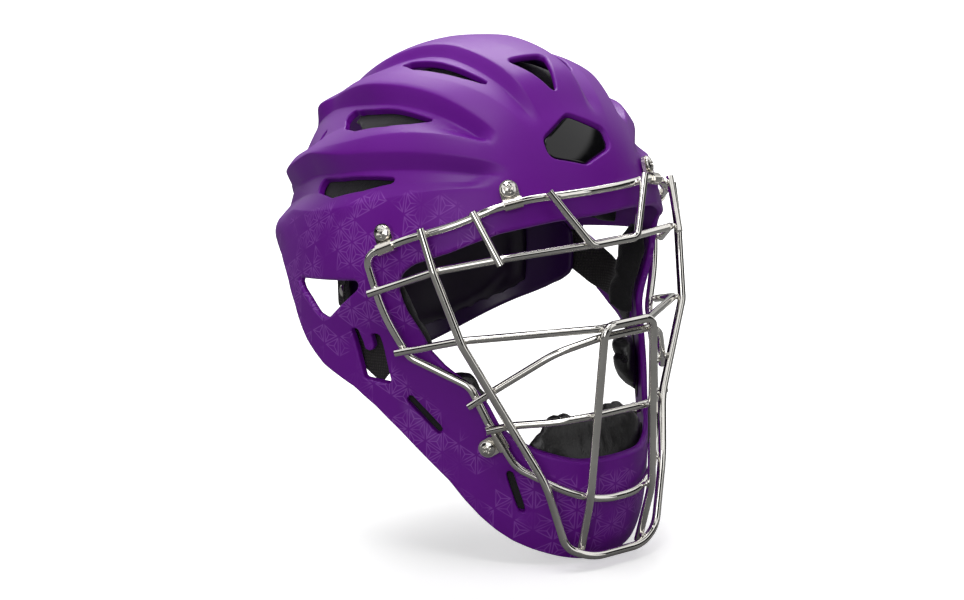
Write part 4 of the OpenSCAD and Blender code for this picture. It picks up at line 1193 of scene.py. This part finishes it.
# Seen from the side, the print along the rim begins past a line square to this (y, z) direction
RIM_DIRECTION = (0.753, -0.658)
OUTER_SIDE = "outer_side"


def hemp_leaf(t):
    """Distance in millimetres to the nearest line of a hemp-leaf lattice, and where it is printed.

    The print is laid round the shell: across by the angle round Z, and up by the height."""
    x, y, z = t.axes()
    x = t.calc("ABSOLUTE", x)
    across, up, rearward = t.calc("ARCTAN2", x, y * -1) * PRINT_RADIUS, z * 1000, y * 1000
    row = LEAF_SIDE * math.sqrt(3) / 2
    cells, shares = [], []
    for turn in (0, 2 * math.pi / 3, 4 * math.pi / 3):
        share = across * (math.cos(turn) / row) + up * (math.sin(turn) / row) + LATTICE_START
        cells.append(t.calc("FLOOR", share))
        shares.append(t.calc("FRACT", share))
    down = t.calc("GREATER_THAN", t.calc("ADD", *shares), 1.5)
    parts = [share + down * (1 - share * 2) for share in shares]
    least, most = t.calc("MINIMUM", *parts), t.calc("MAXIMUM", *parts)
    # Each leaf has its own outline, drawn in from the lattice, and three veins inside it
    inside = least * row
    outline = t.calc("ABSOLUTE", inside - LEAF_INSET)
    vein = ((1 - most) - least * 2) * (row / math.sqrt(3))
    within = t.calc("LESS_THAN", inside, LEAF_INSET) * 9
    distance = t.calc("MINIMUM", outline, vein + within)
    # The leaves are thinned out one by one and in patches
    cell = t.get("Vector", "CombineXYZ", X=cells[0], Y=cells[1], Z=cells[2])
    kept = t.get("Value", "TexWhiteNoise", noise_dimensions="3D", Vector=cell).ramp(0.28, 0.4)
    patches = t.noise(42, 1).ramp(0.4, 0.47, 0.12, 1)
    # Printed below the third groove, but not on the plain cheek between the strap window
    # and the wire
    roll = t.calc("ARCTAN2", x, z) * math.degrees(1)
    tilt = t.calc("ARCTAN2", t.calc("SQRT", x * x + z * z), y * -1) * math.degrees(1)
    below = (roll - tilt.ramp(60, 108, 42, 60)).ramp(1, 3)
    rim = (rearward * RIM_DIRECTION[0] + up * RIM_DIRECTION[1]).ramp(-17, -13)
    chin = up.ramp(-82, -78, 1, 0) * rearward.ramp(-96, -92, 1, 0)
    zone = t.calc("MAXIMUM", up.ramp(0, 6), rearward.ramp(-19, -15), rim, chin)
    return distance, below * zone * (patches * kept)


def shell_plastic():
    """Satin moulded plastic, with a fine tone-on-tone print on the outside of the side panels."""
    t = new_material("shell_plastic")
    colour = t.clouds(t.noise(14, 3), (0.165, 0.0035, 0.32), (0.19, 0.0048, 0.365), (0.40, 0.48))
    distance, zone = hemp_leaf(t)
    outer = t.get("Fac", "Attribute", attribute_name=OUTER_SIDE)
    ink = distance.ramp(0.18, 0.42, 1, 0) * zone * outer * 0.5
    t.set(Base_Color=t.mixed(ink, colour, INK), Specular_IOR_Level=0.3)
    t.bump(t.noise(2600), 0.00004, 0.5)
    return t.owner


def shaded_plate_plastic():
    """The back plate's plastic: the shell's purple made much darker as painted shade for the bowl
    behind the head, and a little shinier.
    """
    t = new_material("back_plate_plastic")
    # Painted shade: both tones are the shell's purple, darkened to stand for the shade in the bowl.
    t.clouds(t.noise(16, 3), (0.034, 0.0028, 0.078), (0.044, 0.0036, 0.098), (0.3, 0.38))
    t.bump(t.noise(2600), 0.00004, 0.5)
    return t.owner


def badge_gloss():
    """Glossy black plastic with faint polishing marks."""
    t = new_material("badge_gloss")
    t.clouds(t.noise(120, 3), (0.002, 0.002, 0.0025), (0.005, 0.005, 0.0055), (0.05, 0.11), (0, 1))
    return t.owner


def nickel(name, colour, rough):
    """Bright plated steel with a soft cloudiness and fine draw marks."""
    t = new_material(name)
    dull = tuple(0.84 * c for c in colour)
    t.clouds(t.noise(60, 4, 0.6), dull, colour, (rough, rough * 1.6))
    t.set(Metallic=1.0)
    t.bump(t.noise(900), 0.00002, 0.4)
    return t.owner


def foam_cover():
    """Black brushed cover of the foam pads: short pile, a fine knit and a little lint."""
    t = new_material("pad_cover")
    pile = t.noise(1900, 3, 0.7)
    base = t.mixed(t.noise(55, 3).ramp(0.3, 0.7), (0.010, 0.010, 0.011), (0.019, 0.018, 0.019))
    t.set(Base_Color=t.mixed(pile.ramp(0.62, 0.78, 0, 0.35), base, (0.055, 0.052, 0.05)),
          Roughness=0.92, Sheen_Weight=0.25, Sheen_Roughness=0.45)
    t.bump(t.cells(1150) + pile, 0.00022, 0.8)
    return t.owner


def chin_leather():
    """Soft black synthetic leather: pebbled grain, shallow creases and a dull polish."""
    t = new_material("chin_leather")
    crease = t.noise(95, 5, 0.62)
    t.clouds(crease, (0.008, 0.008, 0.009), (0.022, 0.021, 0.021), (0.26, 0.4), (0, 1))
    t.bump(t.cells(760) * 0.35 + crease * 2.2, 0.0004, 0.7)
    return t.owner


def plate_lining():
    """Smooth dark plum lining of the back plate's pad, with a soft shine and faint rubbing."""
    t = new_material("plate_lining")
    t.clouds(t.noise(40, 4), (0.010, 0.003, 0.018), (0.018, 0.005, 0.032), (0.3, 0.42))
    t.bump(t.noise(1400), 0.00006, 0.5)
    return t.owner


def webbing():
    """Black elastic webbing: ribs along the strap crossed by the weft."""
    t = new_material("elastic_webbing")
    ribs, weft = (t.get("Fac", "TexWave", bands_direction=axis, Scale=scale, Distortion=0.6,
                        Vector=t.place()) for axis, scale in (("Z", 190), ("Y", 260)))
    weave = ribs * weft
    t.set(Base_Color=t.mixed(weave * t.noise(180, 3), (0.018, 0.016, 0.016),
                             (0.075, 0.068, 0.064)), Roughness=0.85, Sheen_Weight=0.2)
    t.bump(weave, 0.0003, 0.9)
    return t.owner


# Room: pale floor, soft light

# Lamps: name, place, size and power
LAMPS = [("back", (0.5, 0.7, 1.15), 0.9, 15), ("top", (-0.35, -0.15, 1.5), 0.7, 8),
         ("front", (-1.7, -1.3, 0.7), 1.2, 8)]
# The floor glows for the camera, more so further off, and faintly in reflections
FLOOR_GLOW, FLOOR_SHINE, FLOOR_SIZE = 0.5, 0.03, 40
FLOOR_Z = CAD_BOX[0][2] - 0.0001


def studio(t):
    """What glossy surfaces see: a dark studio with bright strips beside and a bright ceiling,
    and what matt surfaces see: soft light that falls off from the ceiling to the floor."""
    x, y, z = t.axes("Generated")
    strips = t.calc("SINE", t.calc("ARCTAN2", x, y) * 5 + 0.6).ramp(0.45, 0.52)
    ceiling = z.ramp(0.5, 0.54) * z.ramp(0.74, 0.78, 1, 0)
    backdrop = (x * 0.64 + y * 0.77).ramp(0.5, 0.75, 0, 0.8) * z.ramp(0, 0.3, 0.25, 0.9)
    bright = t.calc("MAXIMUM", strips, ceiling, backdrop)
    return (t.mixed(bright, (0.02, 0.02, 0.022), WHITE),
            t.mixed(z.ramp(-0.35, 0.75, 0.02, 0.33), BLACK, WHITE))


def add_floor():
    bpy.ops.mesh.primitive_plane_add(size=FLOOR_SIZE, location=(0, 0, FLOOR_Z))
    floor = bpy.context.object
    floor.name = "floor"
    t = new_material("floor")
    pale = t.mixed(t.noise(3), (0.86, 0.86, 0.86), (0.9, 0.9, 0.9))
    around = t.mixed(t.ray("Glossy"), (0.36, 0.36, 0.36), (0.14, 0.14, 0.14))
    away = t.get("Value", "VectorMath", operation="LENGTH", Vector=t.place())
    glow = t.ray("Camera") * away.ramp(0.4, 1.5, FLOOR_GLOW, 1)
    t.set(Base_Color=t.mixed(t.ray("Camera"), around, pale), Roughness=0.9, Emission_Color=WHITE,
          Emission_Strength=t.calc("MAXIMUM", glow, t.ray("Glossy") * FLOOR_SHINE))
    floor.data.materials.append(t.owner)


def add_room():
    bpy.context.scene.view_settings.view_transform = "Standard"
    bpy.context.scene.world = bpy.data.worlds.new("room")
    t = Tree(bpy.context.scene.world)
    glossy, matt = studio(t)
    white = t.calc("MAXIMUM", t.ray("Camera"), t.ray("Transmission"))
    t.set(Color=t.mixed(white, t.mixed(t.ray("Glossy"), matt, glossy), WHITE), Strength=1.0)
    add_floor()
    for name, where, size, power in LAMPS:
        data = bpy.data.lights.new(name, "AREA")
        data.size = size
        data.energy = power
        lamp = bpy.data.objects.new(name, data)
        lamp.location = where
        lamp.rotation_euler = (-Vector(where)).to_track_quat("-Z", "Y").to_euler()
        bpy.context.collection.objects.link(lamp)


# Build

COVER, LEATHER, LINING, WEBBING = foam_cover(), chin_leather(), plate_lining(), webbing()
WIRE = nickel("cage_wire", (0.88, 0.86, 0.81), 0.03)
STEEL = nickel("clip_steel", (0.86, 0.82, 0.75), 0.12)
FASTENER = nickel("fastener_steel", (0.80, 0.78, 0.73), 0.05)

# Foam strips behind the slots of jaw and side: ends, half width, depth, thickness and overlap
LININGS = [("upper_slot_lining", (114.5, 64.8), (126, 58.6), 6, 0.2, 0.6, 0.4),
           ("lower_slot_lining", (147.5, 46.6), (155, 49.4), 6, 0.2, 0.9, 0.55),
           ("side_vent_lining", (48.5, 72), (52, 111), 13, 6.3, 0.7, 0.04)]


def mark_outer(obj):
    """Marks the points that face away from the head, because only they carry the print."""
    marks = obj.data.attributes.new(OUTER_SIDE, "FLOAT", "POINT")
    for mark, vertex in zip(marks.data, obj.data.vertices):
        mark.value = float(vertex.normal.dot(vertex.co) > 0)


def add_strap(level, hand, side):
    """A strap whose path runs under the shell at its start and reaches the back plate at its end."""
    path, width_dir, start = STRAPS[level]
    strap = ribbon(f"{level}_webbing_{hand}", path, width_dir, side)
    dress(strap, WEBBING, "elastic_webbing", f"{level}_strap_{hand}", body=None)
    tuple(on_side(start, side) * MM)
    tuple(on_side(path[-2], side) * MM)
    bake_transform(strap)


add_camera()
add_room()
skin = build_skin()
mark_outer(skin)
dress(skin, shell_plastic(), "shell_plastic", "shell")
dress(build_badge(), badge_gloss(), "badge_plastic", "badge_plate")
dress(build_back_plate(), shaded_plate_plastic(), "back_plate_plastic", "back_plate", body="back_plate")
dress(build_screws(), FASTENER, "fastener_steel", "clip_screws")
dress(build_nuts(), FASTENER, "fastener_steel", "clip_nuts")
dress(build_rivets(), FASTENER, "fastener_steel", "strap_rivets", body="back_plate")
dress(build_welds(), WIRE, "cage_wire")
for obj, node_name, kind in build_pads():
    leather = kind in ("chin_pad", "jaw_pad")
    on_plate = kind == "back_plate_pad"
    dress(obj, LEATHER if leather else LINING if on_plate else COVER,
          "chin_leather" if leather else "pad_cover", node_name,
          body="back_plate" if on_plate else "helmet")
for side, hand in ((0, "right"), (1, "left")):
    for name, a, b, half_width, low, thick, spare in LININGS:
        dress(lining(f"{name}_{hand}", a, b, half_width, low, thick, side, spare), COVER,
              "pad_cover")
    for level in STRAPS:
        add_strap(level, hand, side)
for name, obj in NODES.items():
    if name.startswith("cage"):
        obj.data.materials.clear()
        obj.data.materials.append(STEEL if name == "cage_clips" else WIRE)
